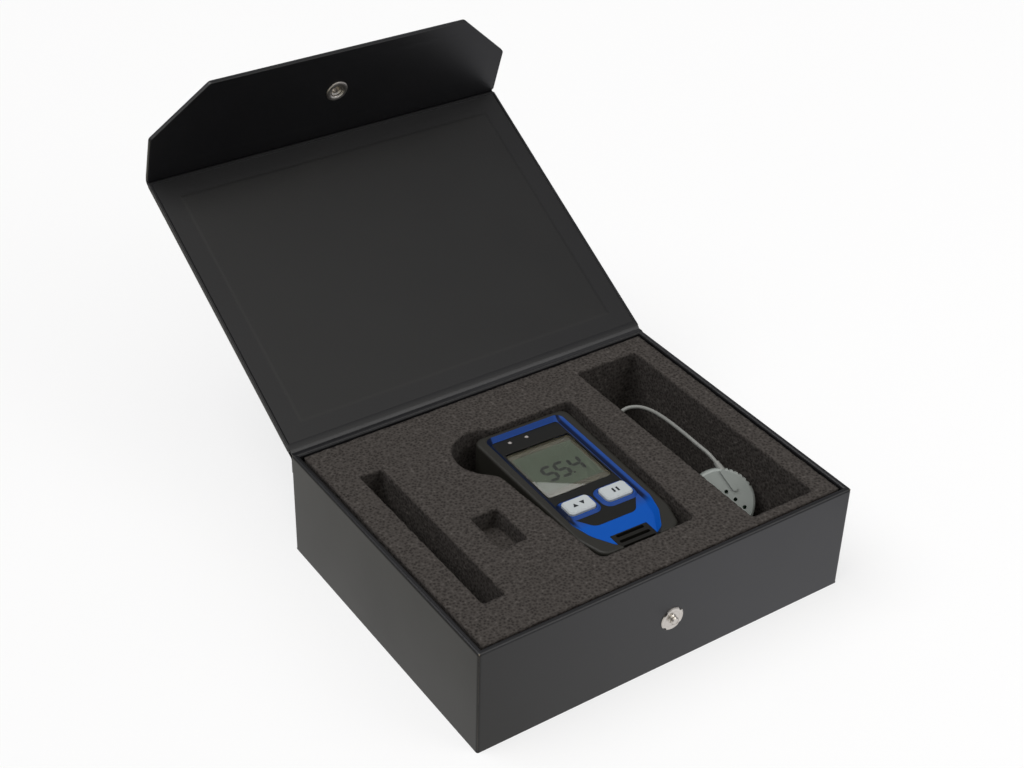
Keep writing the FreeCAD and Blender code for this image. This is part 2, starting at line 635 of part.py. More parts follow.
def face_pieces():
    """Overlay, window, display, keys, membrane and lamps, from the face down to the board."""
    width, length = WINDOW_SIZE
    overlay = prism(OVERLAY_OUTLINE, OVERLAY_CORNERS, RECESS_Z, FACE_Z, ROOM / 2)
    overlay = overlay.cut(prism(rectangle(width, length, 0, WINDOW_Y), (WINDOW_R,) * 4, RECESS_Z, FACE_Z))
    for side in (-1, 1):
        grow = COLLAR_FOOT + ROOM
        overlay = overlay.cut(prism(key_points(side, grow), (KEY_R + grow,) * 4, RECESS_Z, FACE_Z))
    for x in LED_X:
        overlay = overlay.cut(rod(LED_D + ROOM, V(x, LED_Y, RECESS_Z), V(x, LED_Y, FACE_Z)))
    save("face_overlay", seat(overlay))

    lip = 2 * WINDOW_LIP - ROOM
    pane = prism(rectangle(width + lip, length + lip, 0, WINDOW_Y), (WINDOW_R,) * 4, PLATE_Z, RECESS_Z)
    save("lcd_window", seat(pane))
    lcd_top = PLATE_Z - ROOM
    lcd_low = lcd_top - LCD_T
    glass = rectangle(width + LCD_BORDER, length + LCD_BORDER, 0, WINDOW_Y)
    save("lcd_module", seat(prism(glass, (LCD_R,) * 4, lcd_low, lcd_top)))
    pcb_top = PCB_Z + PCB_SIZE[2]
    bar_w, bar_l, from_edge = CONNECTOR
    bar = rectangle(bar_w, bar_l, 0, WINDOW_Y + length / 2 - from_edge)
    save("lcd_connector", seat(prism(bar, (LCD_R,) * 4, pcb_top, lcd_low)))

    key_low = PLATE_Z - KEY_DEPTH
    dome_top = key_low - KEY_TRAVEL - ROOM
    sheet_w, sheet_l, sheet_t = MEMBRANE_SIZE
    sheet = prism(rectangle(sheet_w, sheet_l, 0, KEY_Y), (KEY_R,) * 4, pcb_top, pcb_top + sheet_t)
    for side, name in ((-1, "key_left"), (1, "key_right")):
        cap_top = METER_H + KEY_PROUD
        edge_z = cap_top - KEY_BEVEL
        stem = prism(key_points(side, 0), (KEY_R,) * 4, key_low + KEY_FLANGE, edge_z)
        low = outline(key_points(side, 0), (KEY_R,) * 4, edge_z)
        high = outline(key_points(side, 0), (KEY_R,) * 4, cap_top, KEY_BEVEL)
        flange = prism(key_points(side, KEY_FLANGE), (KEY_R,) * 4, key_low, key_low + KEY_FLANGE)
        key = stem.fuse(Part.makeLoft([low, high], True, True)).fuse(flange).removeSplitter()
        save(name, seat(key))
        dome = Part.makeCone(*DOME_R, dome_top - pcb_top, V(side * KEY_X, KEY_Y, pcb_top))
        sheet = sheet.fuse(dome)
    save("key_membrane", seat(sheet.removeSplitter()))

    base_r, base_h = LED_BASE
    step_z = pcb_top + base_h
    lens_r = LED_D / 2
    for x, name in zip(LED_X, ("led_left", "led_right")):
        profile = (
            (0, pcb_top), (base_r, pcb_top), (base_r, step_z), (lens_r, step_z),
            (lens_r, FACE_Z - LED_EASE), (lens_r - LED_EASE, FACE_Z), (0, FACE_Z),
        )
        save(name, seat(revolve(profile, V(x, LED_Y, 0), Z_AXIS)))


def board_pieces():
    """Circuit board, sensor behind the vents, jack socket, cell, contacts, door and screws."""
    width, length, thick = PCB_SIZE
    board = prism(rectangle(width, length, 0, PCB_Y), (3.0,) * 4, PCB_Z, PCB_Z + thick)
    for place in boss_places():
        board = board.cut(rod(SCREW_D + 3 * ROOM, place, place + V(0, 0, METER_H)))
    save("circuit_board", seat(board))
    top = PCB_Z + thick
    wide, long, high = SENSOR_SIZE
    capsule = prism(rectangle(wide, long, 0, SENSOR_Y), (SENSOR_R,) * 4, top, top + high)
    for i in (-1, 0, 1):
        hole = V(i * SENSOR_HOLE_STEP, SENSOR_Y, top + high / 2)
        capsule = capsule.cut(rod(SENSOR_HOLE_D, hole, hole + V(0, 0, high)))
    save("sensor_capsule", seat(capsule))

    mouth, shoulder, back = JACK_X
    half = JACK_HALF_W
    jack = box(shoulder, back, JACK_Y - half, JACK_Y + half, JACK_Z - half, PCB_Z)
    jack = jack.fuse(rod(JACK_D, V(mouth, JACK_Y, JACK_Z), V(shoulder, JACK_Y, JACK_Z)))
    bore = rod(PIN_D + ROOM, V(mouth, JACK_Y, JACK_Z), V(mouth + PIN_L + ROOM, JACK_Y, JACK_Z))
    save("jack_socket", seat(jack.cut(bore).removeSplitter()))

    foot = TUB_WALL + 3 * ROOM
    start = BATTERY_Y - BATTERY_L / 2
    end = BATTERY_Y + BATTERY_L / 2
    radius = BATTERY_D / 2
    nub_r, nub_h = BATTERY_NUB
    neck = BATTERY_L - nub_h
    ease = BATTERY_EASE
    profile = (
        (0, 0), (radius - ease, 0), (radius, ease), (radius, neck - ease), (radius - ease, neck),
        (nub_r, neck), (nub_r, BATTERY_L), (0, BATTERY_L),
    )
    save("battery", seat(revolve(profile, V(0, start, foot + radius), Y_AXIS)))
    half, leaf = CONTACT_W / 2, CONTACT_T
    plus = box(-half, half, end + ROOM / 2, end + ROOM / 2 + leaf, foot, PCB_Z)
    minus = box(-half, half, start - ROOM / 2 - leaf, start - ROOM / 2, foot, PCB_Z)
    save("battery_contacts", seat(Part.makeCompound([plus, minus])))

    door_w, door_l = DOOR_SIZE
    door = prism(rectangle(door_w, door_l, 0, BATTERY_Y), (DOOR_R,) * 4, 0, TUB_WALL)
    half, groove_l, deep = GROOVE_SIZE[0] / 2, GROOVE_SIZE[1], GROOVE_SIZE[2]
    for i in range(GROOVE_COUNT):
        groove_y = BATTERY_Y - door_l / 2 + GROOVE_FIRST + GROOVE_STEP * i
        door = door.cut(box(-half, half, groove_y, groove_y + groove_l, -PAST, deep))
    save("battery_door", seat(door))

    screws = []
    half, arm, deep = CROSS_SIZE[0] / 2, CROSS_SIZE[1] / 2, CROSS_SIZE[2]
    for place in boss_places():
        head = rod(SCREW_HEAD_D, place + V(0, 0, ROOM), place + V(0, 0, SCREW_HEAD_T))
        shank = rod(SCREW_D, place + V(0, 0, SCREW_HEAD_T), place + V(0, 0, top + SCREW_BITE))
        cross = box(-half, half, -arm, arm, 0, deep).fuse(box(-arm, arm, -half, half, 0, deep))
        cross.translate(place)
        screws.append(head.fuse(shank).cut(cross).removeSplitter())
    save("housing_screws", seat(Part.makeCompound(screws)))


# Probe

def probe_placement():
    """The probe leans back on the slot's floor with its vented face to the front left."""
    lean = FreeCAD.Rotation(X_AXIS, PROBE_LEAN)
    turn = FreeCAD.Rotation(Z_AXIS, PROBE_TURN)
    return FreeCAD.Placement(PROBE_AT, turn.multiply(lean))


def lean_probe(shape):
    """Move a probe piece from the probe's own frame to where it leans."""
    placed = shape.copy()
    placed.Placement = probe_placement().multiply(shape.Placement)
    return placed


def lead_start():
    """Point and direction, in the probe's frame, where the lead's boot leaves the rim."""
    direction = V(LEAD_DIRECTION).normalize()
    at_rim = V(RIB_START.x, RIB_START.y, -LEAD_DEPTH)
    return at_rim, direction


def scalloped(half):
    """One half of the probe with the grip's upright flutes cut into part of its edge."""
    first, last = SCALLOP_ARC
    low = -PROBE_FRONT_T - PROBE_BACK_T - PAST
    for i in range(SCALLOP_COUNT):
        angle = math.radians(first + (last - first) * i / (SCALLOP_COUNT - 1))
        at = V(math.cos(angle), math.sin(angle), 0) * (PROBE_D / 2 + SCALLOP_OUT)
        half = half.cut(rod(2 * SCALLOP_R, at + V(0, 0, low), at + V(0, 0, PAST)))
    return half


def probe():
    """Vented front half with a scalloped grip and a cable rib, back half, sensor board and boot."""
    radius = PROBE_D / 2
    parting = -PROBE_FRONT_T
    ease = PROBE_EASE
    profile = (
        (0, parting), (radius, parting), (radius, -ease), (radius - 0.4 * ease, -0.4 * ease),
        (radius - ease, 0), (0, 0),
    )
    front = revolve(profile, ORIGIN, Z_AXIS)
    front = scalloped(front)
    cavity_r = radius - PROBE_WALL - PROBE_EASE
    front = front.cut(Part.makeCylinder(cavity_r, PROBE_FRONT_T - PROBE_WALL, V(0, 0, parting)))
    across = V(HOLE_STEP.y, -HOLE_STEP.x, 0)
    for row in range(HOLE_ROWS):
        for i in range(HOLE_ROWS):
            at = HOLE_FIRST + HOLE_STEP * i + across * row
            front = front.cut(rod(HOLE_D, at + V(0, 0, parting), at + V(0, 0, PAST)))
    run = RIB_END - RIB_START
    rib = box(0, run.Length, -RIB_W / 2, RIB_W / 2, -PAST, RIB_H)
    rib = rib.fuse(Part.makeCylinder(RIB_W / 2, PAST + RIB_H, V(run.Length, 0, -PAST)))
    rib.rotate(ORIGIN, Z_AXIS, math.degrees(math.atan2(run.y, run.x)))
    rib.translate(RIB_START)
    rib = rib.common(Part.makeCylinder(radius - 0.4 * ease, 2 * (PAST + RIB_H), V(0, 0, -PAST)))
    front = front.fuse(rib)
    at_rim, direction = lead_start()
    gland = rod(BOOT_D[0] + ROOM, at_rim - direction * (BOOT_INSIDE + ROOM), at_rim + direction * BOOT_L)
    front = front.cut(gland)
    save("probe_front", lean_probe(front.removeSplitter()))

    low = parting - PROBE_BACK_T
    floor = low + PROBE_BACK_FLOOR
    bevel = PROBE_BACK_BEVEL
    profile = (
        (0, low), (radius - bevel, low), (radius, low + bevel), (radius, parting), (cavity_r, parting),
        (cavity_r, floor), (0, floor),
    )
    save("probe_back", lean_probe(scalloped(revolve(profile, ORIGIN, Z_AXIS))))
    disc = Part.makeCylinder(cavity_r - 6 * ROOM, PROBE_BOARD_T, V(0, 0, floor + ROOM))
    half, high = PROBE_CHIP
    chip_z = floor + ROOM + PROBE_BOARD_T
    save("probe_board", lean_probe(disc.fuse(centred_box(half, half, chip_z, chip_z + high))))

    boot = Part.makeCone(BOOT_D[0] / 2, BOOT_D[1] / 2, BOOT_L, at_rim, direction)
    shoulder = rod(BOOT_D[0], at_rim - direction * BOOT_INSIDE, at_rim)
    save("probe_strain_relief", lean_probe(boot.fuse(shoulder).removeSplitter()))


# Lead

def arc_at(before, corner, after, reach):
    """Tangent arc at one corner of a route, and its radius."""
    back = (before - corner).normalize()
    on = (after - corner).normalize()
    half_turn = (math.pi - math.acos(max(-1.0, min(1.0, back.dot(on))))) / 2
    radius = reach / math.tan(half_turn)
    sagitta = radius / math.cos(half_turn) - radius
    middle = corner + (back + on).normalize() * sagitta
    return Part.Arc(corner + back * reach, middle, corner + on * reach), radius


def tube(name, route):
    """Round lead along straight runs joined by tangent arcs as large as the runs allow."""
    edges = []
    radii = []
    start = route[0]
    for before, corner, after in zip(route, route[1:], route[2:]):
        shorter = min((corner - before).Length, (after - corner).Length)
        arc, radius = arc_at(before, corner, after, 0.45 * shorter)
        edges.append(Part.LineSegment(start, arc.StartPoint).toShape())
        edges.append(arc.toShape())
        radii.append(round(radius, 1))
        start = arc.EndPoint
    edges.append(Part.LineSegment(start, route[-1]).toShape())
    return sweep(name, edges, route[1] - route[0], radii)


def sweep(name, edges, direction, radii):
    """Carry the lead's round section along a path, and compare its volume with area times length."""
    path = Part.Wire(edges)
    start = edges[0].valueAt(edges[0].FirstParameter)
    ring = Part.Wire(Part.makeCircle(LEAD_D / 2, start, direction))
    solid = path.makePipeShell([ring], True, False)
    expected = math.pi * LEAD_D ** 2 / 4 * path.Length
    print(name, "length %.1f" % path.Length, "volume ratio %.4f" % (solid.Volume / expected), "radii", radii)
    save(name, solid)
    return path


def coil_point(turn):
    """Lead's centre after so many turns: in along the upper layer, a half turn down, out below."""
    inner = COIL_R - COIL_TURNS * COIL_PITCH
    if turn <= COIL_TURNS:
        radius = COIL_R - COIL_PITCH * turn
        z = COIL_HIGH_Z
    elif turn <= COIL_TURNS + 0.5:
        part = 2 * (turn - COIL_TURNS)
        radius = inner - COIL_PITCH / 2 * (part - part ** 2)
        z = COIL_HIGH_Z - COIL_PITCH * (3 * part ** 2 - 2 * part ** 3)
    else:
        radius = inner + COIL_PITCH * (turn - COIL_TURNS - 0.5)
        z = COIL_LOW_Z
    angle = math.pi + 2 * math.pi * turn
    return V(COIL_AT.x + radius * math.cos(angle), COIL_AT.y + radius * math.sin(angle), z)


def coil_tangent(turn):
    """Direction of the lead after so many turns."""
    small = 1e-4
    last = 2 * COIL_TURNS + 0.5
    return (coil_point(min(turn + small, last)) - coil_point(max(turn - small, 0))).normalize()


def biarc(p0, t0, p1, t1):
    """Two arcs that leave p0 along t0, meet smoothly and reach p1 along t1."""
    span = p1 - p0
    both = t0 + t1
    spread = 2 * (1 - t0.dot(t1))
    reach = (math.sqrt(span.dot(both) ** 2 + spread * span.dot(span)) - span.dot(both)) / spread
    joint = (p0 + t0 * reach + p1 - t1 * reach) * 0.5
    arcs = []
    for start, control, end in ((p0, p0 + t0 * reach, joint), (joint, p1 - t1 * reach, p1)):
        arcs.append(Part.Arc(start, arc_middle(start, control, end), end).toShape())
    return arcs


def arc_middle(start, control, end):
    """Middle of the arc that touches start-control and control-end at their far ends."""
    chord = (start + end) * 0.5
    rise = control - chord
    half_chord = (end - start).Length / 2
    leg = (control - start).Length
    return chord + rise * (half_chord / (half_chord + leg))


def coil():
    """Put-away lead as one unbroken tube in two layers, with straight ends, and its tie."""
    quarter_turns = round(4 * (2 * COIL_TURNS + 0.5))
    start, end = coil_point(0), coil_point(quarter_turns / 4)
    lead_in, lead_out = coil_tangent(0), coil_tangent(quarter_turns / 4)
    edges = [Part.LineSegment(start - lead_in * COIL_END, start).toShape()]
    for i in range(quarter_turns):
        a, b = i / 4, (i + 1) / 4
        edges += biarc(coil_point(a), coil_tangent(a), coil_point(b), coil_tangent(b))
    edges.append(Part.LineSegment(end, end + lead_out * COIL_END).toShape())
    path = sweep("cable_coil", edges, lead_in, ["%.2f to %.2f" % (COIL_R - COIL_TURNS * COIL_PITCH, COIL_R)])
    print("cable_coil least gap to itself %.2f" % least_gap(path))

    slack = LEAD_D / 2 + TIE_CLEAR
    inner_y = coil_point(COIL_TURNS - 0.25).y - slack - TIE_CLEAR
    outer_y = coil_point(0.75).y + slack
    low = COIL_LOW_Z - slack
    high = COIL_HIGH_Z + slack
    half = TIE_W / 2
    band = box(-half, half, inner_y - TIE_T, outer_y + TIE_T, low - TIE_T, high + TIE_T)
    band = band.cut(box(-half, half, inner_y, outer_y, low, high))
    band.translate(V(COIL_AT.x, 0, 0))
    save("cable_tie", band)
    return start - lead_in * COIL_END, lead_in, end + lead_out * COIL_END, lead_out


def least_gap(path):
    """Smallest clear distance between stretches of the tube that aren't neighbours along it."""
    step = 0.4 * LEAD_D
    points = path.discretize(Distance=step)
    near = round(6 * LEAD_D / step)
    least = min((a - b).Length for i, a in enumerate(points) for b in points[i + near:])
    return least - LEAD_D


def lead():
    """Lead from the probe's boot over to the coil, and from the coil to the plug."""
    at_rim, direction = lead_start()
    placement = probe_placement()
    start = placement.multVec(at_rim + direction * BOOT_L)
    second = start + placement.Rotation.multVec(direction) * LEAD_EXIT_RUN
    coil_in, heading_in, coil_out, heading_out = coil()
    run_in = coil_in - heading_in * COIL_RUN_IN
    tube("probe_cable", [start, second] + [V(*p) for p in LEAD_ROUTE] + [run_in, coil_in])
    run_out = coil_out + heading_out * COIL_RUN_OUT
    tube("cable_tail", [coil_out, run_out] + [V(*p) for p in TAIL_ROUTE])


def plug():
    """Straight jack plug: ribbed grip with a tapered boot, and a ringed pin."""
    start = V(PLUG_X, PLUG_START, PLUG_Z)
    boot_end = PLUG_BOOT_L
    grip_end = PLUG_BOOT_L + PLUG_BODY_L
    ease = PLUG_EASE
    root = PLUG_R - ease
    profile = [
        (0, 0), (LEAD_D / 2 + ease, 0), (root - ease, boot_end), (root, boot_end), (PLUG_R, boot_end + ease),
    ]
    part = RIB_STEP / 5
    for i in range(1, PLUG_RIBS + 1):
        y = boot_end + RIB_STEP * i
        profile += [(PLUG_R, y), (root, y + part), (root, y + 2 * part), (PLUG_R, y + 3 * part)]
    profile += [(PLUG_R, grip_end - ease), (root, grip_end), (0, grip_end)]
    save("plug_body", revolve(profile, start, Y_AXIS))
    pin = PIN_D / 2
    tip = grip_end + PIN_L
    ring, waist, head = (tip - part * PIN_D for part in PIN_MARKS)
    sunk = pin - ROOM
    profile = (
        (0, grip_end), (pin, grip_end), (pin, ring), (sunk, ring + ROOM), (sunk, ring + 5 * ROOM),
        (pin, ring + 6 * ROOM), (pin, waist - ease), (pin - ease, waist), (sunk, head), (ease, tip), (0, tip),
    )
    save("plug_pin", revolve(profile, start, Y_AXIS))


def main():
    os.makedirs("parts", exist_ok=True)
    tray()
    snap_on_front()
    lid()
    flap()
    foam()
    front_shell()
    vent_grille()
    rear_shell()
    face_pieces()
    board_pieces()
    probe()
    lead()
    plug()


main()
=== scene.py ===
"""Looks of the instrument kit: a leatherette presentation case with a cut foam insert, a handheld
meter with a liquid crystal display, and a round vented probe on a thin lead.

Lengths are written in millimetres and turned to metres where a mesh is made. Places are in the
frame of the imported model: X along the front edge, Y to the hinge, Z up.
"""
import math

import bpy
import numpy as np
from mathutils import Matrix, Vector


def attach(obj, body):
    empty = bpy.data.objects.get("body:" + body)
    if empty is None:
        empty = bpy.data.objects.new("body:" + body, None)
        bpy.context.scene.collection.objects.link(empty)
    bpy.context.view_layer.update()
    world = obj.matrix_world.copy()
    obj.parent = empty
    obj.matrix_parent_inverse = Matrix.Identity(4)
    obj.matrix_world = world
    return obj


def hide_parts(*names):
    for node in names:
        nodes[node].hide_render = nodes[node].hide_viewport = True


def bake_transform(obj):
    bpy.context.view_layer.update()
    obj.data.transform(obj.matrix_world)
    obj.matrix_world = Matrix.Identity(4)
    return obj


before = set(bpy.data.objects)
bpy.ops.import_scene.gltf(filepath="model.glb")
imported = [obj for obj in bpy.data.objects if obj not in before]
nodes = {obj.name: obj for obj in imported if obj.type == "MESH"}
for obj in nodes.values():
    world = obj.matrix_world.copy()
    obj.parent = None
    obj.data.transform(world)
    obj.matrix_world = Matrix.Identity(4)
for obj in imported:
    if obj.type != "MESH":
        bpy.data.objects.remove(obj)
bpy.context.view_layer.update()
MM = 0.001

# Camera: where the photograph was taken from, and its focal length in pixels of a 1024 wide picture
VIEW_FROM = (-405.9, -529.4, 567.0)
VIEW_AZIMUTH = -35.03
VIEW_ELEVATION = 34.59
VIEW_ROLL = 1.70
FOCAL_PIXELS = 1766.0
PICTURE_W = 1024
SENSOR_W = 36.0

# Lead: its free stretch, coil and tail, as they lie in the slot
LEAD_D = 2.0
LEAD_FREE = (
    (75.87, -18.62, 44.87),
    (75.20, -14.45, 47.2),
    (74.4, -6.5, 48.0),
    (75.6, 6.8, 47.2),
    (77.8, 23.5, 44.6),
    (78.2, 36.5, 42.4),
    (75.5, 44.5, 40.8),
    (69.0, 48.0, 39.4),
    (61.2, 44.5, 35.4),
    (57.0, 37.0, 29.6),
    (56.2, 27.5, 22.6),
    (55.83, 18.0, 15.7),
    (56.05, 10.0, 15.7),
)
LEAD_TAIL = (
    (85.95, 10.0, 13.2),
    (86.12, 16.0, 13.2),
    (84.5, 22.0, 13.8),
    (81.5, 27.0, 15.0),
    (80.0, 32.5, 15.5),
    (80.0, 35.2, 15.5),
)
COIL_AT = (71.0, 8.0)
COIL_TURNS = 3
COIL_R = 14.9
COIL_PITCH = 2.5
COIL_HIGH_Z = 15.7
COIL_STEPS = 24

# Case: outside, covering, lid and flap
CASE_W, CASE_D, CASE_H = 210.0, 164.0, 58.0
SKIN = 0.4
WALL = 3.0
TURN_IN = 30.0
CORNER_R = 1.4
RIM_R = 1.3
WALL_BOW = 1.2
HINGE_Y, HINGE_Z = 81.8, 58.3
LID_RECLINE = 28.9
LID_HALF_W = 105.3
LID_START, LID_LENGTH, LID_T = 1.6, 165.6, 2.8
LID_EDGE_R = 1.1
LID_INNER_R = 0.35
FOLD_GAP = 0.4
FLAP_FOLD = 79.85
FLAP_H, FLAP_SIDE, FLAP_TIP_HALF_W = 57.6, 28.5, 74.5
FLAP_CORNER_R = 3.0
SNAP_DROP = 30.8
BARREL_R = 3.25

# Linings: inset from the panel's edge, then the step down to the border as (height, width)
LINER_INSET = {"lid": 12.0, "flap": 7.0}
LINER_STEP = {"lid": (0.07, 1.8), "flap": (0.06, 3.0)}
LINER_TUCK = 0.1
LINER_STEPS = 5

# Border under the lining: where it stops being level, where it ends, and how far it has sunk there
BORDER_LEVEL, BORDER_END, BORDER_SUNK = 1.0, 2.0, 0.3

# Groove along the lid's two sides, from the edge
GROOVE_IN, GROOVE_HALF_W, GROOVE_DEPTH = 1.6, 0.3, 0.4

# Hinge strips: (y, z) on the rim, (out, z) on the back wall, (along, up) from a panel's inner face
STRIP_T, STRIP_INSET, STRIP_STEPS = 0.3, 0.6, 40
GUTTER_RIM = ((79.25, 57.6), (79.75, 58.0), (80.5, 58.12), (81.2, 58.05))
GUTTER_LID = (
    (0.3, -0.4), (0.8, -0.25), (1.5, 0.04), (2.2, 0.12),
    (3.2, 0.18), (4.2, 0.12), (5.0, 0.03), (5.6, -0.08),
)
SPINE_WALL = ((0.0, 47.0), (0.0, 51.0), (0.0, 54.0), (0.4, 55.2), (1.2, 55.7))
SPINE_LID = ((3.4, -3.1), (5.5, -3.05), (9.0, -2.95), (12.0, -2.9))
SPINE_GAP, SPINE_BEND_Z = 0.1, 55.0

# Fold: how far its strips lap onto each panel, and how far the outer one stands off the boards
FOLD_NEAR, FOLD_FAR = 2.0, 9.0
FOLD_PROUD, FOLD_EASE, FOLD_STEPS = 0.08, 0.05, 8

# Foam: mesh cell of each block, and its rough skin as noises of (depth, size, seed), sunk into the solid
FOAM_CELLS = {"foam_insert": 1.2, "foam_base": 2.4}
FOAM_NOISES = ((0.16, 2.6, 11), (0.12, 1.2, 12))
FOAM_SINK = 0.12
WELD_DISTANCE = 0.001
REMESH_DEPTH = 8

# Meter: its place in the pocket, where the vivid nose gives way to the frame's painted shade, and that
# painted shade across the frame
METER_AT = (3.27, -2.2, 22.0)
METER_TURN = -1.26
NOSE_TO_PAINTED_SHADE = (-31.0, -25.0)
FRAME_HALF_W = 22.2
# Painted shade across the frame, from its left edge to its right: near black at the left edge and at the
# foot of the right slope, dark blue between
FRAME_PAINTED_SHADE = (
    (0.0, "#0e1830"), (0.08, "#0e1830"), (0.1, "#23458a"), (0.938, "#23458a"),
    (0.945, "#0c1630"), (0.966, "#0f1c3c"), (0.98, "#274b94"),
)

# Display: viewing area, and seven-segment figures with the left end of each
LCD_TOP = 28.1
LCD_FILM = 0.03
LCD_CORNERS = ((-16.8, 1.6), (16.8, 1.6), (16.8, 31.4), (-16.8, 31.4))
LCD_CORNER_R = 0.8
FIGURES = (("5", -9.6), ("5", -2.4), ("4", 5.6))
FIGURE_SEGMENTS = {"4": "bcfg", "5": "acdfg"}
FIGURE_W, FIGURE_H, FIGURE_BAR, FIGURE_GAP = 5.3, 10.2, 1.9, 0.12
FIGURE_FOOT, FIGURE_SLANT = 8.4, 0.09
POINT_CORNERS = ((4.0, 8.0), (5.1, 8.0), (5.1, 9.1), (4.0, 9.1))
POINT_CORNER_R = 0.3

# Key marks: outlines from each key's middle
KEY_X, KEY_Y, KEY_TOP = 10.55, -16.45, 32.2
PRINT_RISE, PRINT_T = 0.03, 0.02
ARROW_MARKS = (
    ((-3.6, -1.3), (-0.8, -1.3), (-2.2, 1.3)),
    ((0.8, 1.3), (2.2, -1.3), (3.6, 1.3)),
)
BAR_MARKS = (
    ((-1.7, -1.5), (-0.6, -1.5), (-0.6, 1.5), (-1.7, 1.5)),
    ((0.6, -1.5), (1.7, -1.5), (1.7, 1.5), (0.6, 1.5)),
)

# Meshes: smallest corner, steps round a corner, level length beside one, and the angle of a sharp edge
LEAST_R = 0.05
CORNER_STEPS = 6
SIDE_EASE = 0.2
SHARP_ANGLE = 40.0

# Studio: the room's brightness towards a patch overhead, lamps with their sizes and power, the floor and
# the painted tint and shadow that it shows in reflections
OVERHEAD_AXIS = (0.0, -0.40, 0.917)
ROOM_SHADES = ((0.0, "#808084"), (0.79, "#808084"), (0.873, "#fffdf8"))
KEY_FROM, KEY_SPREAD, KEY_POWER = (-800.0, 350.0, 1600.0), 45.0, 1.65
SOFTBOX_AT, SOFTBOX_SIZE, SOFTBOX_POWER = (918.0, 1250.0, 1328.0), (400.0, 120.0), 0.62
CARD_AT, CARD_SIZE, CARD_POWER = (730.0, -995.0, 998.0), 800.0, 4.4
FLOOR_HALF_W = 6000.0
FLOOR_LIFT = 0.7
# Floor in reflections, across X: a painted warm tint to the left and a painted shadow dimming it to the
# right of the case
FLOOR_PAINTED_REFLECTION_HALF_W = 250.0
FLOOR_PAINTED_REFLECTION = ((0.0, "#b8b5a6"), (0.6, "#fbfbff"), (0.8, "#fbfbff"), (0.92, "#b4b4b8"))


# Small tools

def linear(code):
    """Linear colour of an sRGB hex value."""
    parts = [int(code[i:i + 2], 16) / 255 for i in (1, 3, 5)]
    return tuple(c / 12.92 if c <= 0.04045 else ((c + 0.055) / 1.055) ** 2.4 for c in parts) + (1.0,)


def unit(vectors):
    """Vectors of length one."""
    return vectors / np.linalg.norm(vectors, axis=-1, keepdims=True)


def at_height(flat, height):
    """Points of a plane outline, all at one height."""
    return np.column_stack([flat, np.full(len(flat), height)])


def arc(centre, radius, start, end, steps=5):
    """Points on a circle between two angles in degrees."""
    angle = np.radians(np.linspace(start, end, steps + 1))
    return np.array(centre) + radius * np.stack([np.cos(angle), np.sin(angle)], 1)


def rounded_outline(corners, radii, inward=0.0):
    """Convex outline, anticlockwise: each side moved in, each corner an arc tangent to its two sides.

    A point on the side just before and after each arc keeps the long sides flat where they are shaded."""
    corners = np.array(corners, float)
    ahead = unit(np.roll(corners, -1, 0) - corners)
    left = np.stack([-ahead[:, 1], ahead[:, 0]], 1)
    left_before = np.roll(left, 1, 0)
    mitre = (left + left_before) / (1 + (left * left_before).sum(1, keepdims=True))
    radius = np.maximum(np.array(radii, float) - inward, LEAST_R)[:, None]
    centre = corners + mitre * (inward + radius)
    first = np.arctan2(-left_before[:, 1], -left_before[:, 0])[:, None]
    turn = (np.arctan2(-left[:, 1], -left[:, 0])[:, None] - first) % (2 * math.pi)
    angle = first + turn * np.linspace(0, 1, CORNER_STEPS + 1)
    arcs = centre[:, None] + radius[:, None] * np.stack([np.cos(angle), np.sin(angle)], 2)
    before = arcs[:, :1] - np.roll(ahead, 1, 0)[:, None] * SIDE_EASE
    after = arcs[:, -1:] + ahead[:, None] * SIDE_EASE
    return np.concatenate([before, arcs, after], 1).reshape(-1, 2)


def carried(corners, radii, profile):
    """Rings of a profile of (inward, height) points carried round an outline."""
    rings = [at_height(rounded_outline(corners, radii, inward), height) for inward, height in profile]
    return np.array(rings)


def ring_faces(count, length, closed=False):
    """Quads between neighbouring rings, each closed on itself; closed joins the last to the first."""
    index = np.arange(count * length).reshape(count, length)
    above = np.roll(index, -1, 0) if closed else index[1:]
    below = index if closed else index[:-1]
    quads = np.stack([below, np.roll(below, -1, 1), np.roll(above, -1, 1), above], 2)
    return quads.reshape(-1, 4).tolist()


def grid_faces(rows, columns):
    """Quads of an open grid."""
    index = np.arange(rows * columns).reshape(rows, columns)
    quads = np.stack([index[:-1, :-1], index[:-1, 1:], index[1:, 1:], index[1:, :-1]], 2)
    return quads.reshape(-1, 4).tolist()


def placed(name, data):
    """Object of its own at the origin of the scene."""
    made = bpy.data.objects.new(name, data)
    bpy.context.scene.collection.objects.link(made)
    return made


def piece(name, points, faces, material, smooth=True):
    """Mesh piece from points in millimetres, flat, or smooth except at its sharp edges."""
    mesh = bpy.data.meshes.new(name)
    mesh.from_pydata((np.asarray(points, float).reshape(-1, 3) * MM).tolist(), [], faces)
    mesh.set_sharp_from_angle(angle=math.radians(SHARP_ANGLE))
    mesh.polygons.foreach_set("use_smooth", np.full(len(mesh.polygons), smooth))
    mesh.materials.append(material)
    return placed(name, mesh)


def dress(made, body, slot, *replaced):
    """Let a piece ride on a body and hide the nodes that it stands for. The slot is not used."""
    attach(made, body)
    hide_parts(*replaced)


def thicken(made, thickness):
    """Give a sheet its thickness, behind its face."""
    wall = made.modifiers.new("thickness", "SOLIDIFY")
    wall.thickness = thickness * MM
    wall.offset = -1.0


def turn_x(points, degrees, about_y=0.0):
    """Points turned about a line along X."""
    angle = math.radians(degrees)
    points = np.array(points, float)
    y, z = points[..., 1] - about_y, points[..., 2].copy()
    points[..., 1] = about_y + y * math.cos(angle) - z * math.sin(angle)
    points[..., 2] = y * math.sin(angle) + z * math.cos(angle)
    return points


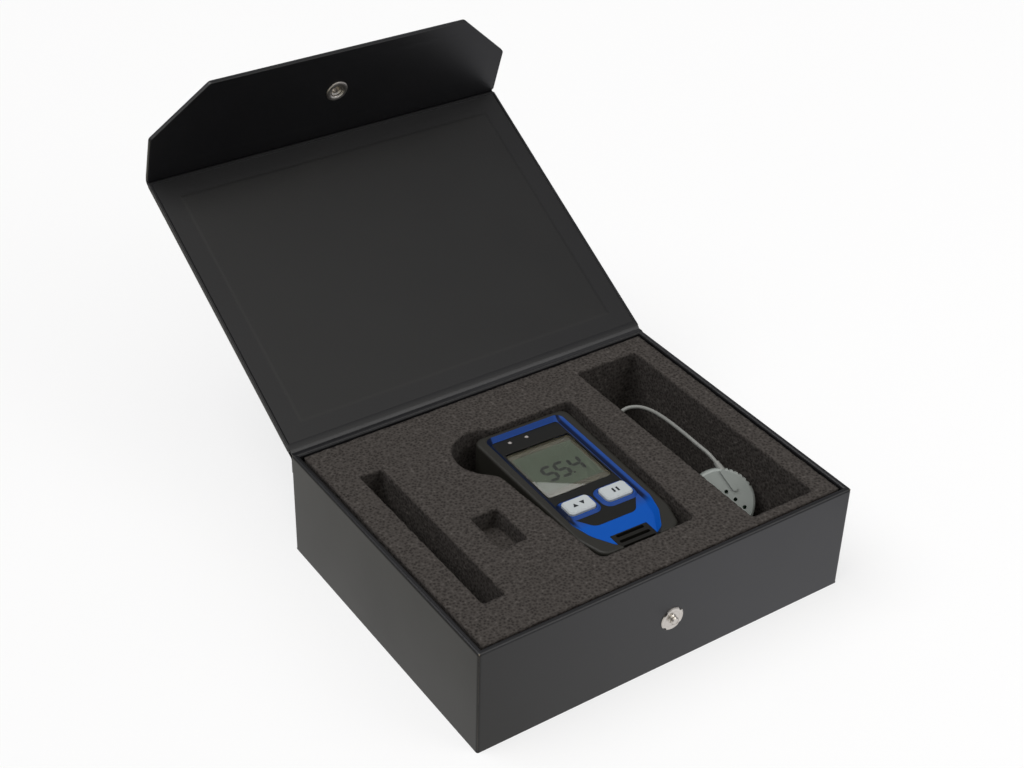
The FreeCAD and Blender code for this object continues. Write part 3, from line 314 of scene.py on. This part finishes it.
def stand_lid(points):
    """Points of the flat lid turned up about the hinge line."""
    return turn_x(points, LID_RECLINE) + np.array([0, HINGE_Y, HINGE_Z])


def stand_flap(points):
    """Points of the flat flap folded in about the lid's far edge, then stood with the lid."""
    return stand_lid(turn_x(points, FLAP_FOLD, LID_LENGTH))


def on_meter(points):
    """Points of the meter's own frame moved into its pocket."""
    angle = math.radians(METER_TURN)
    cos, sin = math.cos(angle), math.sin(angle)
    turn = np.array([[cos, -sin, 0], [sin, cos, 0], [0, 0, 1]])
    return np.asarray(points, float) @ turn.T + np.array(METER_AT)


def lattice_noise(points, cell, seed):
    """Smooth random values from -1 to 1: random numbers on a cubic lattice, eased between its corners."""
    size = 64
    table = np.random.default_rng(seed).uniform(-1, 1, (size, size, size))
    low = np.floor(points / cell).astype(int)
    part = points / cell - low
    part = part * part * (3 - 2 * part)
    value = np.zeros(len(points))
    for corner in np.ndindex(2, 2, 2):
        weight = np.prod(np.where(corner, part, 1 - part), axis=1)
        x, y, z = ((low + corner) % size).T
        value += weight * table[x, y, z]
    return value


# Camera

def camera():
    """Camera at the photograph's place, turned by its azimuth, elevation and roll."""
    azimuth, elevation, roll = (math.radians(a) for a in (VIEW_AZIMUTH, VIEW_ELEVATION, VIEW_ROLL))
    flat = math.cos(elevation)
    back = Vector((math.sin(azimuth) * flat, -math.cos(azimuth) * flat, math.sin(elevation)))
    level = Vector((math.cos(azimuth), math.sin(azimuth), 0))
    upright = back.cross(level)
    right = level * math.cos(roll) + upright * math.sin(roll)
    up = back.cross(right)
    data = bpy.data.cameras.new("camera")
    data.sensor_width = SENSOR_W
    data.lens = FOCAL_PIXELS * SENSOR_W / PICTURE_W
    made = placed("camera", data)
    turn = Matrix((right, up, back)).transposed().to_4x4()
    made.matrix_world = Matrix.Translation(Vector(VIEW_FROM) * MM) @ turn
    bpy.context.scene.camera = made


# Lead

def coil_points(turn):
    """Centre of the lead after so many turns: in along the upper layer, a half turn down, out below."""
    inner = COIL_R - COIL_TURNS * COIL_PITCH
    part = np.clip(2 * (turn - COIL_TURNS), 0, 1)
    going_out = inner + COIL_PITCH * np.maximum(turn - COIL_TURNS - 0.5, 0)
    radius = np.where(turn <= COIL_TURNS, COIL_R - COIL_PITCH * turn, going_out)
    radius = radius - COIL_PITCH / 2 * (part - part ** 2)
    height = COIL_HIGH_Z - COIL_PITCH * (3 * part ** 2 - 2 * part ** 3)
    angle = math.pi + 2 * math.pi * turn
    x, y = COIL_AT
    return np.column_stack([x + radius * np.cos(angle), y + radius * np.sin(angle), height])


def lead(material):
    """The whole lead as one smooth line from the probe's boot through the coil to the plug."""
    turns = np.arange(COIL_STEPS * (2 * COIL_TURNS + 0.5) + 1) / COIL_STEPS
    route = np.vstack([LEAD_FREE, coil_points(turns), LEAD_TAIL]) * MM
    line = bpy.data.curves.new("lead", "CURVE")
    line.dimensions = "3D"
    line.bevel_depth = LEAD_D / 2 * MM
    line.bevel_resolution = 4
    line.resolution_u = 8
    line.use_fill_caps = True
    spline = line.splines.new("NURBS")
    spline.points.add(len(route) - 1)
    spline.points.foreach_set("co", np.column_stack([route, np.ones(len(route))]).ravel())
    spline.order_u = 3
    spline.use_endpoint_u = True
    line.materials.append(material)
    made = placed("lead", line)
    dress(made, "probe", "cable_jacket", "probe_cable", "cable_coil", "cable_tail")


# Parts of materials

def add(tree, kind, links=None, **settings):
    """Add a node with its settings, join or set its inputs, and return its outputs."""
    node = tree.nodes.new(kind)
    stops = settings.pop("stops", ())
    if stops:
        ramp = node.color_ramp.elements
        ramp.remove(ramp[1])
        for place, code in stops:
            element = ramp.new(place) if place else ramp[0]
            element.color = linear(code)
    for name, value in settings.items():
        setattr(node, name, value)
    for name, value in (links or {}).items():
        if isinstance(value, bpy.types.NodeSocket):
            tree.links.new(value, node.inputs[name])
        else:
            node.inputs[name].default_value = value
    return node.outputs


def started(name):
    """New material, its emptied node tree, and the place on the object that its patterns start from."""
    made = bpy.data.materials.new(name)
    made.use_nodes = True
    tree = made.node_tree
    tree.nodes.clear()
    return made, tree, add(tree, "ShaderNodeTexCoord")["Object"]


def finished(made, inputs):
    """Material closed by one principled shader with the given inputs."""
    shader = add(made.node_tree, "ShaderNodeBsdfPrincipled", inputs)[0]
    add(made.node_tree, "ShaderNodeOutputMaterial", {"Surface": shader})
    return made


def per_mm(size):
    """Scale at which one cell of a pattern spans so many millimetres."""
    return 1 / (size * MM)


def noise(tree, place, mm, detail, **more):
    """Noise with blotches of so many millimetres."""
    inputs = {"Vector": place, "Scale": per_mm(mm), "Detail": detail, **more}
    return add(tree, "ShaderNodeTexNoise", inputs)[0]


def shaded(tree, value, *stops):
    """Colours over a value from 0 to 1, at stops of (place, colour)."""
    return add(tree, "ShaderNodeValToRGB", {"Fac": value}, stops=stops)[0]


def spread(tree, value, low, high):
    """A value from 0 to 1 spread between two others."""
    return add(tree, "ShaderNodeMapRange", {"Value": value, "To Min": low, "To Max": high})[0]


def share(tree, value, low, high):
    """How far a place in millimetres has come from one end to the other, from 0 to 1."""
    inputs = {"Value": value, "From Min": low * MM, "From Max": high * MM}
    return add(tree, "ShaderNodeMapRange", inputs)[0]


def relief(tree, height, strength, mm, **more):
    """Normals of a surface that rises and falls by so many millimetres."""
    inputs = {"Height": height, "Strength": strength, "Distance": mm * MM, **more}
    return add(tree, "ShaderNodeBump", inputs)[0]


# Materials

def leatherette(name, shades, gloss, grain_mm=0.9):
    """Vinyl-coated case cloth: black, calendered with a fine pebble grain, satin with faint mottling."""
    made, tree, place = started(name)
    cloud = noise(tree, place, mm=38, detail=3.0)
    pebble = add(tree, "ShaderNodeTexVoronoi", {"Vector": place, "Scale": per_mm(grain_mm)},
                 feature="SMOOTH_F1")["Distance"]
    sag = noise(tree, place, mm=60, detail=1.0)
    flat = relief(tree, sag, strength=0.25, mm=0.6)
    return finished(made, {
        "Base Color": shaded(tree, cloud, (0.0, shades[0]), (1.0, shades[1])),
        "Roughness": spread(tree, cloud, gloss - 0.05, gloss + 0.05),
        "Normal": relief(tree, pebble, strength=0.16, mm=0.12, Normal=flat),
        "IOR": 1.5,
    })


def foam_rubber():
    """Open-cell polyurethane foam: charcoal, its cut cells read as light and dark specks 1 mm wide."""
    made, tree, place = started("open_cell_foam")
    cells = add(tree, "ShaderNodeTexVoronoi", {"Vector": place, "Scale": per_mm(1.5), "Randomness": 1.0})
    specks = noise(tree, place, mm=1.3, detail=4.0, Roughness=0.7)
    mixed = add(tree, "ShaderNodeMath", {0: cells["Distance"], 1: specks}, operation="MULTIPLY")[0]
    return finished(made, {
        "Base Color": shaded(tree, mixed, (0.0, "#1d1a19"), (0.22, "#3f3b38"), (0.42, "#4a4643"),
                             (0.75, "#6b6661")),
        "Roughness": 0.95,
        "Normal": relief(tree, mixed, strength=0.8, mm=0.7),
        "Specular IOR Level": 0.15,
    })


def nickel_plate():
    """Bright nickel on pressed brass: warm grey mirror, dulled by fine scuffs."""
    made, tree, place = started("nickel_plate")
    scuff = noise(tree, place, mm=0.8, detail=5.0)
    return finished(made, {
        "Base Color": shaded(tree, scuff, (0.0, "#b9b2a8"), (1.0, "#dcd8d2")),
        "Metallic": 1.0,
        "Roughness": spread(tree, scuff, 0.24, 0.42),
    })


def moulded(name, shades, roughness, grit_mm=0.5, relief_mm=0.03, shine=0.5):
    """Injection-moulded plastic: even colour with a slight cloud, and the mould's spark-eroded grit."""
    made, tree, place = started(name)
    cloud = noise(tree, place, mm=9, detail=3.0)
    grit = noise(tree, place, mm=grit_mm, detail=2.0)
    return finished(made, {
        "Base Color": shaded(tree, cloud, (0.0, shades[0]), (1.0, shades[1])),
        "Roughness": spread(tree, grit, roughness - 0.06, roughness + 0.06),
        "Normal": relief(tree, grit, strength=0.5, mm=relief_mm),
        "IOR": 1.53,
        "Specular IOR Level": shine,
    })


def blue_abs_painted_shade():
    """Moulded ABS of the meter's front: vivid blue on the nose, and on the frame round the face a painted
    shade of dark blue.

    Across the frame the painted shade falls off to near black at the left edge and at the foot of the
    right slope."""
    made, tree, place = started("blue_abs_painted_shade")
    local = add(tree, "ShaderNodeMapping", {
        "Vector": place, "Location": [c * MM for c in METER_AT],
        "Rotation": (0, 0, math.radians(METER_TURN))}, vector_type="TEXTURE")[0]
    axes = add(tree, "ShaderNodeSeparateXYZ", {"Vector": local})
    # Painted shade: along the meter the vivid blue of the nose gives way to the frame's painted dark blue,
    # which darkens to near black at the left edge and the foot of the right slope
    along = share(tree, axes["Y"], *NOSE_TO_PAINTED_SHADE)
    frame_painted_shade = shaded(tree, share(tree, axes["X"], -FRAME_HALF_W, FRAME_HALF_W), *FRAME_PAINTED_SHADE)
    grit = noise(tree, place, mm=0.5, detail=2.0)
    return finished(made, {
        "Base Color": add(tree, "ShaderNodeMix", {"Factor": along, 6: linear("#064ea8"), 7: frame_painted_shade},
                          data_type="RGBA")[2],
        "Roughness": 0.42,
        "Normal": relief(tree, grit, strength=0.5, mm=0.02),
        "Specular IOR Level": 0.12,
    })


def clear_acrylic():
    """Cast acrylic window with an anti-reflection coat: clear and polished, with one faint glare."""
    made, tree, place = started("clear_acrylic")
    haze = noise(tree, place, mm=14, detail=2.0)
    return finished(made, {
        "Base Color": linear("#f4f6f2"),
        "Roughness": spread(tree, haze, 0.005, 0.02),
        "IOR": 1.2,
        "Transmission Weight": 1.0,
    })


def plated_steel():
    """Zinc-plated steel: pale, slightly blue, brushed by handling."""
    made, tree, place = started("zinc_plated_steel")
    brush = noise(tree, place, mm=1.2, detail=4.0)
    return finished(made, {
        "Base Color": linear("#b9bcc0"),
        "Metallic": 1.0,
        "Roughness": spread(tree, brush, 0.25, 0.45),
    })


def studio_floor():
    """Pale seamless floor: white to the lens, with a soft shadow.

    In reflections it carries a painted tint, warmer to the left, and a painted shadow to the right, where
    the case keeps the key lamp off."""
    made, tree, place = started("seamless_paper")
    path = add(tree, "ShaderNodeLightPath")
    seen = add(tree, "ShaderNodeMath", {0: path["Is Glossy Ray"], 1: path["Is Transmission Ray"]},
               operation="MAXIMUM")[0]
    paper = add(tree, "ShaderNodeBsdfDiffuse", {"Color": linear("#f8f8f8")})[0]
    glow = add(tree, "ShaderNodeEmission", {"Color": (1, 1, 1, 1), "Strength": 1.0})[0]
    along = add(tree, "ShaderNodeSeparateXYZ", {"Vector": place})["X"]
    # Painted reflection: the floor seen in glossy surfaces is tinted warm to the left and dimmed to the
    # right by a painted shadow
    tint = shaded(tree, share(tree, along, -FLOOR_PAINTED_REFLECTION_HALF_W, FLOOR_PAINTED_REFLECTION_HALF_W), *FLOOR_PAINTED_REFLECTION)
    painted_floor_reflection = add(tree, "ShaderNodeEmission", {"Color": tint, "Strength": 1.0})[0]
    lifted = add(tree, "ShaderNodeMixShader", {0: FLOOR_LIFT, 1: paper, 2: glow})[0]
    to_lens = add(tree, "ShaderNodeMixShader", {0: path["Is Camera Ray"], 1: paper, 2: lifted})[0]
    surface = add(tree, "ShaderNodeMixShader", {0: seen, 1: to_lens, 2: painted_floor_reflection})[0]
    add(tree, "ShaderNodeOutputMaterial", {"Surface": surface})
    return made


# Case covering

def tray_leather(material):
    """Covering of the tray: up the walls, over the rim in two arcs and down inside, 0.4 mm thick.

    The two side walls bow out towards the rim, by a parabola along their length."""
    half_w, half_d = CASE_W / 2, CASE_D / 2
    corners = ((-half_w, -half_d), (half_w, -half_d), (half_w, half_d), (-half_w, half_d))
    inner = WALL - SKIN
    profile = np.vstack([
        [(0, SKIN), (0, CASE_H - RIM_R - SIDE_EASE)],
        arc((RIM_R, CASE_H - RIM_R), RIM_R, 180, 90),
        arc((WALL - RIM_R, CASE_H - RIM_R), RIM_R, 90, 0),
        [(WALL, CASE_H - RIM_R - SIDE_EASE), (WALL, CASE_H - TURN_IN), (inner, CASE_H - TURN_IN)],
        [(inner, CASE_H - SKIN), (SKIN, CASE_H - SKIN), (SKIN, SKIN)],
    ])
    rings = carried(corners, (CORNER_R,) * 4, profile)
    x, y, z = np.moveaxis(rings, 2, 0)
    outer_share = np.clip(1 - profile[:, :1] / (WALL / 2), 0, 1)
    bow = WALL_BOW * (1 - (y / half_d) ** 2) * z / CASE_H * outer_share
    in_side_wall = np.abs(x) > half_w - WALL - 1
    rings[..., 0] += np.where(in_side_wall, np.sign(x), 0) * bow
    made = piece("tray_leather", rings, ring_faces(*rings.shape[:2], closed=True), material)
    dress(made, "case", "leatherette", "tray_cover")


def panel_corners(kind):
    """Outline of the flat lid or of the flat flap, in the lid's own plane, with its corner radii."""
    near, far = LID_START, LID_LENGTH - FOLD_GAP
    if kind == "lid":
        corners = ((-LID_HALF_W, near), (LID_HALF_W, near), (LID_HALF_W, far), (-LID_HALF_W, far))
        return corners, (CORNER_R,) * 4
    near, side, tip = LID_LENGTH + FOLD_GAP, LID_LENGTH + FLAP_SIDE, LID_LENGTH + FLAP_H
    corners = (
        (-LID_HALF_W, near), (LID_HALF_W, near), (LID_HALF_W, side),
        (FLAP_TIP_HALF_W, tip), (-FLAP_TIP_HALF_W, tip), (-LID_HALF_W, side),
    )
    return corners, (CORNER_R,) * 2 + (FLAP_CORNER_R,) * 4


def snap_hole(ring):
    """Ring of as many points evenly round the flap's snap, turned to lie nearest to the given ones."""
    centre = np.array([0, LID_LENGTH + SNAP_DROP])
    out = ring[:, :2] - centre
    even = 2 * math.pi * np.arange(len(ring)) / len(ring)
    lag = np.exp(1j * (np.arctan2(out[:, 1], out[:, 0]) - even))
    angle = even + np.angle(lag.mean())
    circle = centre + BARREL_R * np.stack([np.cos(angle), np.sin(angle)], 1)
    return np.column_stack([circle, ring[:, 2]])


def panel_piece(name, kind, rings, middle_last, material):
    """Rings across a panel stood in place: the middle is a face on the lid and a hole on the flap."""
    if kind == "flap":
        hole = snap_hole(rings[-1] if middle_last else rings[0])[None]
        rings = np.concatenate([rings, hole] if middle_last else [hole, rings])
        stand = stand_flap
    else:
        stand = stand_lid
    count, length = rings.shape[:2]
    faces = ring_faces(count, length)
    if kind == "lid":
        first = (count - 1) * length if middle_last else 0
        middle = list(range(first, first + length))
        faces.append(middle if middle_last else middle[::-1])
    return piece(name, stand(rings), faces, material)


def panel_leather(kind, material):
    """Covering of a board: its outer face, a round edge, and a border turned in under the lining.

    Along the lid's two sides a narrow groove shows where the covering is pressed over the board."""
    corners, radii = panel_corners(kind)
    outer, inner, inset = LID_EDGE_R, LID_INNER_R, LINER_INSET[kind]
    level = inset + BORDER_LEVEL
    profile = np.vstack([
        [(inset, -LID_T), (outer + SIDE_EASE, -LID_T)],
        arc((outer, outer - LID_T), outer, 270, 180),
        arc((inner, -inner), inner, 180, 90),
        [(inner + SIDE_EASE, 0), (GROOVE_IN - GROOVE_HALF_W, 0)],
        [(GROOVE_IN, -GROOVE_DEPTH), (GROOVE_IN + GROOVE_HALF_W, 0)],
        [(level - SIDE_EASE, 0), (level, 0), (inset + BORDER_END, -BORDER_SUNK)],
    ])
    rings = carried(corners, radii, profile)
    bottom = profile[:, 1] == -GROOVE_DEPTH
    beside = (np.abs(rings[..., 0]) > LID_HALF_W - 2 * GROOVE_IN) & (kind == "lid")
    rings[bottom, :, 2] *= beside[bottom]
    made = panel_piece(kind + "_leather", kind, rings, False, material)
    dress(made, kind, "leatherette", kind + "_cover")


def panel_lining(kind, material):
    """Lining sheet inside the border: flat, its edge pressed down onto the border in a soft step."""
    corners, radii = panel_corners(kind)
    inset = LINER_INSET[kind]
    proud, wide = LINER_STEP[kind]
    part = np.linspace(0, 1, LINER_STEPS)
    ease = np.column_stack([inset + wide * part, proud * (3 * part ** 2 - 2 * part ** 3)])
    profile = np.vstack([[(inset, -LINER_TUCK)], ease, [(inset + wide + SIDE_EASE, proud)]])
    made = panel_piece(kind + "_lining", kind, carried(corners, radii, profile), True, material)
    dress(made, kind, "lining", kind + "_liner")


def hinge_strip(name, path, bodies, start, end, material, *replaced):
    """Leatherette laid in a fixed bend across a fold: a path of (y, z) points carried along X, 0.3 mm
    thick.
    """
    side = LID_HALF_W - STRIP_INSET
    level = np.linspace(SIDE_EASE - side, side - SIDE_EASE, STRIP_STEPS)
    across = np.concatenate([[-side], level, [side]])
    x, row = np.meshgrid(across, np.arange(len(path)), indexing="ij")
    points = np.stack([x, path[row, 0], path[row, 1]], 2)
    made = piece(name, points, grid_faces(*x.shape), material)
    thicken(made, STRIP_T)
    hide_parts(*replaced)
    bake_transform(made)


def lid_line(*points):
    """(y, z) of points given as (along, up) from the lid's inner face."""
    return stand_lid(np.insert(np.array(points, float), 0, 0, axis=1))[:, 1:]


def flap_line(*points):
    """(y, z) of points given as (along, up) from the flap's fold and inner face."""
    flat = np.insert(np.array(points, float), 0, 0, axis=1) + (0, LID_LENGTH, 0)
    return stand_flap(flat)[:, 1:]


def hinges(material):
    """The four strips at the lid's hinge and at the flap's fold, inside and outside."""
    case_lid, lid_flap = ("case", "lid"), ("lid", "flap")
    rim = np.array(GUTTER_RIM)
    gutter = np.vstack([rim, lid_line(*GUTTER_LID)])
    lid_edge = lid_line((LID_START, 0))[0]
    hinge_strip("hinge_gutter", gutter[::-1], case_lid, rim[2], lid_edge, material, "lid_hinge_strip")

    back = CASE_D / 2 + SPINE_GAP
    lid_back = lid_line(*SPINE_LID)
    spine = np.vstack([np.array(SPINE_WALL) + (back, 0), lid_back])
    hinge_strip("hinge_spine", spine, case_lid, np.array([back, SPINE_BEND_Z]), lid_back[0], material)

    lid_end, flap_start, sunk = LID_LENGTH - FOLD_GAP, FOLD_GAP, -LID_INNER_R
    gutter = np.vstack([
        lid_line((lid_end - FOLD_NEAR, sunk), (lid_end, sunk), (LID_LENGTH, 2 * sunk)),
        flap_line((flap_start, sunk), (flap_start + FOLD_NEAR, sunk)),
    ])
    start, end = lid_line((lid_end, 0))[0], flap_line((flap_start, 0))[0]
    hinge_strip("fold_gutter", gutter[::-1], lid_flap, start, end, material, "flap_hinge_strip")

    radius = LID_T + FOLD_PROUD
    fold = lid_line((LID_LENGTH, 0))[0]
    sweep = arc(fold, radius, LID_RECLINE - 90, LID_RECLINE - 90 + FLAP_FOLD, FOLD_STEPS)
    before = lid_line((lid_end - FOLD_FAR, FOLD_EASE - radius), (lid_end - FOLD_NEAR, -radius))
    after = flap_line((flap_start + FOLD_NEAR, -radius), (flap_start + FOLD_FAR, FOLD_EASE - radius))
    spine = np.vstack([before, sweep, after])
    hinge_strip("fold_spine", spine, lid_flap, sweep[0], sweep[-1], material)


# Foam

def foam_piece(name, node, material):
    """Foam block: the node's solid in small cells, edges kept, each point pushed by two sizes of noise."""
    shell = placed(name + "_solid", nodes[node].data.copy())
    weld = shell.modifiers.new("weld", "WELD")
    weld.merge_threshold = WELD_DISTANCE * MM
    cells = shell.modifiers.new("cells", "REMESH")
    cells.mode = "SHARP"
    cells.octree_depth = REMESH_DEPTH
    cells.scale = max(shell.dimensions) / (FOAM_CELLS[node] * MM * 2 ** REMESH_DEPTH)
    cells.use_remove_disconnected = False
    evaluated = shell.evaluated_get(bpy.context.evaluated_depsgraph_get())
    mesh = bpy.data.meshes.new_from_object(evaluated)
    bpy.data.objects.remove(shell)
    count = len(mesh.vertices)
    points, normals = np.zeros(count * 3), np.zeros(count * 3)
    mesh.vertices.foreach_get("co", points)
    mesh.vertex_normals.foreach_get("vector", normals)
    points, normals = points.reshape(-1, 3) / MM, normals.reshape(-1, 3)
    push = sum(deep * lattice_noise(points, size, seed) for deep, size, seed in FOAM_NOISES) - FOAM_SINK
    mesh.vertices.foreach_set("co", ((points + normals * push[:, None]) * MM).ravel())
    mesh.materials.clear()
    mesh.materials.append(material)
    mesh.polygons.foreach_set("use_smooth", np.ones(len(mesh.polygons), bool))
    mesh.name = name
    made = placed(name, mesh)
    dress(made, "case", "foam", node)


# Display and keys

def segments():
    """Six-cornered bars of a seven-segment figure by their letters, from its lower left corner."""
    half, gap, middle = FIGURE_BAR / 2, FIGURE_GAP, FIGURE_H / 2
    near, right, top = gap + half, FIGURE_W - gap, middle - gap
    across = np.array([(near, half), (gap, 0), (near, -half),
                       (right - half, -half), (right, 0), (right - half, half)])
    upright = np.array([(-half, near), (0, gap), (half, near),
                        (half, top - half), (0, top), (-half, top - half)])
    return {
        "a": across + (0, FIGURE_H), "g": across + (0, middle), "d": across,
        "f": upright + (0, middle), "b": upright + (FIGURE_W, middle),
        "e": upright, "c": upright + (FIGURE_W, 0),
    }


def display(ink, glass):
    """Viewing area of the display and its figures, lying on the glass under the window."""
    area = at_height(rounded_outline(LCD_CORNERS, (LCD_CORNER_R,) * 4), LCD_TOP + LCD_FILM)
    made = piece("lcd_viewing_area", on_meter(area), [list(range(len(area)))], glass, smooth=False)
    thicken(made, LCD_FILM)
    dress(made, "meter", "display")

    bars = segments()
    lean = np.array([[1, FIGURE_SLANT], [0, 1]])
    shapes = [bars[letter] @ lean.T + (left, FIGURE_FOOT)
              for figure, left in FIGURES for letter in FIGURE_SEGMENTS[figure]]
    shapes.append(rounded_outline(POINT_CORNERS, (POINT_CORNER_R,) * 4))
    ends = np.cumsum([len(shape) for shape in shapes])
    faces = [list(range(end - len(shape), end)) for shape, end in zip(shapes, ends)]
    points = at_height(np.vstack(shapes), LCD_TOP + 2 * LCD_FILM)
    made = piece("lcd_figures", on_meter(points), faces, ink, smooth=False)
    thicken(made, PRINT_T)
    dress(made, "meter", "display")


def key_marks(ink):
    """Marks printed on the two keys: a pair of arrow heads on one, two upright bars on the other."""
    for name, x, marks in (("key_left", -KEY_X, ARROW_MARKS), ("key_right", KEY_X, BAR_MARKS)):
        shapes = np.array(marks) + (x, KEY_Y)
        flat = shapes.reshape(-1, 2)
        faces = np.arange(len(flat)).reshape(shapes.shape[:2]).tolist()
        points = at_height(flat, KEY_TOP + PRINT_RISE)
        made = piece(name + "_mark", on_meter(points), faces, ink, smooth=False)
        thicken(made, PRINT_T)
        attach(made, name)


# Studio

def room():
    """Dim room with a bright patch overhead, white to the lens."""
    world = bpy.data.worlds.new("studio")
    bpy.context.scene.world = world
    world.use_nodes = True
    tree = world.node_tree
    tree.nodes.clear()
    path = add(tree, "ShaderNodeLightPath")
    direction = add(tree, "ShaderNodeTexCoord")["Generated"]
    nearness = add(tree, "ShaderNodeVectorMath", {0: direction, 1: OVERHEAD_AXIS},
                   operation="DOT_PRODUCT")["Value"]
    shades = shaded(tree, nearness, *ROOM_SHADES)
    soft = add(tree, "ShaderNodeBackground", {"Color": shades, "Strength": 1.0})[0]
    white = add(tree, "ShaderNodeBackground", {"Color": (1, 1, 1, 1), "Strength": 1.0})[0]
    surface = add(tree, "ShaderNodeMixShader", {0: path["Is Camera Ray"], 1: soft, 2: white})[0]
    add(tree, "ShaderNodeOutputWorld", {"Surface": surface})


def lamp(kind, name, at, power):
    """Lamp at a place, turned to the meter."""
    light = bpy.data.lights.new(name, kind)
    light.energy = power
    made = placed(name, light)
    made.location = Vector(at) * MM
    made.rotation_mode = "QUATERNION"
    made.rotation_quaternion = (Vector(METER_AT) * MM - made.location).to_track_quat("-Z", "Y")
    return light


def studio(floor_material):
    """Seamless floor, the room, a wide soft key lamp, a small softbox that the display's window mirrors,
    and a card in front for the rim and the metal to mirror."""
    side = FLOOR_HALF_W
    corners = [(-side, -side, 0), (side, -side, 0), (side, side, 0), (-side, side, 0)]
    floor = piece("floor", corners, [[0, 1, 2, 3]], floor_material)
    room()
    key = lamp("SUN", "key", KEY_FROM, KEY_POWER)
    key.angle = math.radians(KEY_SPREAD)
    softbox = lamp("AREA", "softbox", SOFTBOX_AT, SOFTBOX_POWER)
    softbox.shape = "RECTANGLE"
    softbox.size, softbox.size_y = (length * MM for length in SOFTBOX_SIZE)
    card = lamp("AREA", "card", CARD_AT, CARD_POWER)
    card.size = CARD_SIZE * MM


# Dressing

def paint(material, *names):
    """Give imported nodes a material."""
    for name in names:
        nodes[name].data.materials.clear()
        nodes[name].data.materials.append(material)


def dress_case():
    """Covering, linings, boards, foam and snap, and the plug's pin in the same nickel."""
    cover = leatherette("vinyl_case_cloth", ("#0d0d0f", "#121214"), gloss=0.38)
    lining = leatherette("lining_paper", ("#0e0e0f", "#131313"), gloss=0.37, grain_mm=0.7)
    tray_leather(cover)
    for kind, inside in (("lid", lining), ("flap", cover)):
        panel_leather(kind, cover)
        panel_lining(kind, inside)
    hinges(cover)
    paint(cover, "base_cover")
    paint(moulded("grey_binders_board", ("#8a8072", "#968c7d"), 0.9, grit_mm=0.4),
          "base_board", "front_board", "back_board", "left_board", "right_board",
          "lid_board", "flap_board")
    foam = foam_rubber()
    foam_piece("foam_block", "foam_insert", foam)
    foam_piece("foam_pad", "foam_base", foam)
    paint(nickel_plate(), "snap_stud", "snap_rivet", "snap_socket", "snap_cap", "plug_pin")


def dress_meter():
    """Shells, face, keys and insides, and the probe's pieces that share their materials."""
    paint(plated_steel(), "battery_contacts", "housing_screws")
    paint(blue_abs_painted_shade(), "front_shell")
    paint(moulded("grey_abs", ("#22211d", "#282722"), 0.5, grit_mm=0.4, relief_mm=0.05, shine=0.3),
          "rear_shell", "battery_door")
    paint(moulded("black_abs", ("#141310", "#1a1915"), 0.5, shine=0.2), "vent_grille")
    paint(moulded("black_nylon", ("#2a2926", "#302f2b"), 0.5),
          "sensor_capsule", "jack_socket", "plug_body", "cable_tie")
    paint(moulded("polyester_film_black", ("#11110f", "#161613"), 0.36, grit_mm=0.7, relief_mm=0.01,
                  shine=0.15), "face_overlay")
    paint(moulded("silver_white_abs", ("#b0b6b8", "#bcc1c2"), 0.35, relief_mm=0.02, shine=0.3),
          "key_left", "key_right")
    paint(moulded("lcd_border_glass", ("#3a362c", "#403c32"), 0.25, grit_mm=0.6, relief_mm=0.005,
                  shine=0.2), "lcd_module")
    paint(moulded("grey_silicone", ("#8a8a88", "#939391"), 0.7), "key_membrane", "lcd_connector")
    paint(moulded("glass_epoxy_green", ("#1c5a38", "#226540"), 0.45), "circuit_board", "probe_board")
    paint(moulded("tinted_epoxy", ("#8a8582", "#98938f"), 0.2, grit_mm=0.6, relief_mm=0.005),
          "led_left", "led_right")
    paint(moulded("cell_wrap", ("#3a4350", "#444e5c"), 0.4), "battery")
    paint(clear_acrylic(), "lcd_window")
    nodes["lcd_window"].visible_shadow = False
    ink = moulded("liquid_crystal_ink", ("#0c0e0a", "#11130e"), 0.3, grit_mm=0.6, relief_mm=0.003,
                  shine=0.2)
    glass = moulded("liquid_crystal_glass", ("#40463c", "#444a40"), 0.4, grit_mm=0.6, relief_mm=0.001,
                    shine=0.1)
    display(ink, glass)
    key_marks(moulded("pad_printing_ink", ("#23262a", "#2a2d31"), 0.6, relief_mm=0.003, shine=0.2))


def main():
    """Camera and lead first, then the case, the meter, the probe and the studio."""
    bpy.context.scene.view_settings.view_transform = "Standard"
    camera()
    jacket = moulded("soft_pvc_grey", ("#7d7e7b", "#888985"), 0.5, grit_mm=0.6)
    lead(jacket)
    dress_case()
    dress_meter()
    paint(moulded("grey_green_abs", ("#8b918d", "#969b97"), 0.5, relief_mm=0.04),
          "probe_front", "probe_back")
    paint(jacket, "probe_strain_relief")
    studio(studio_floor())


main()
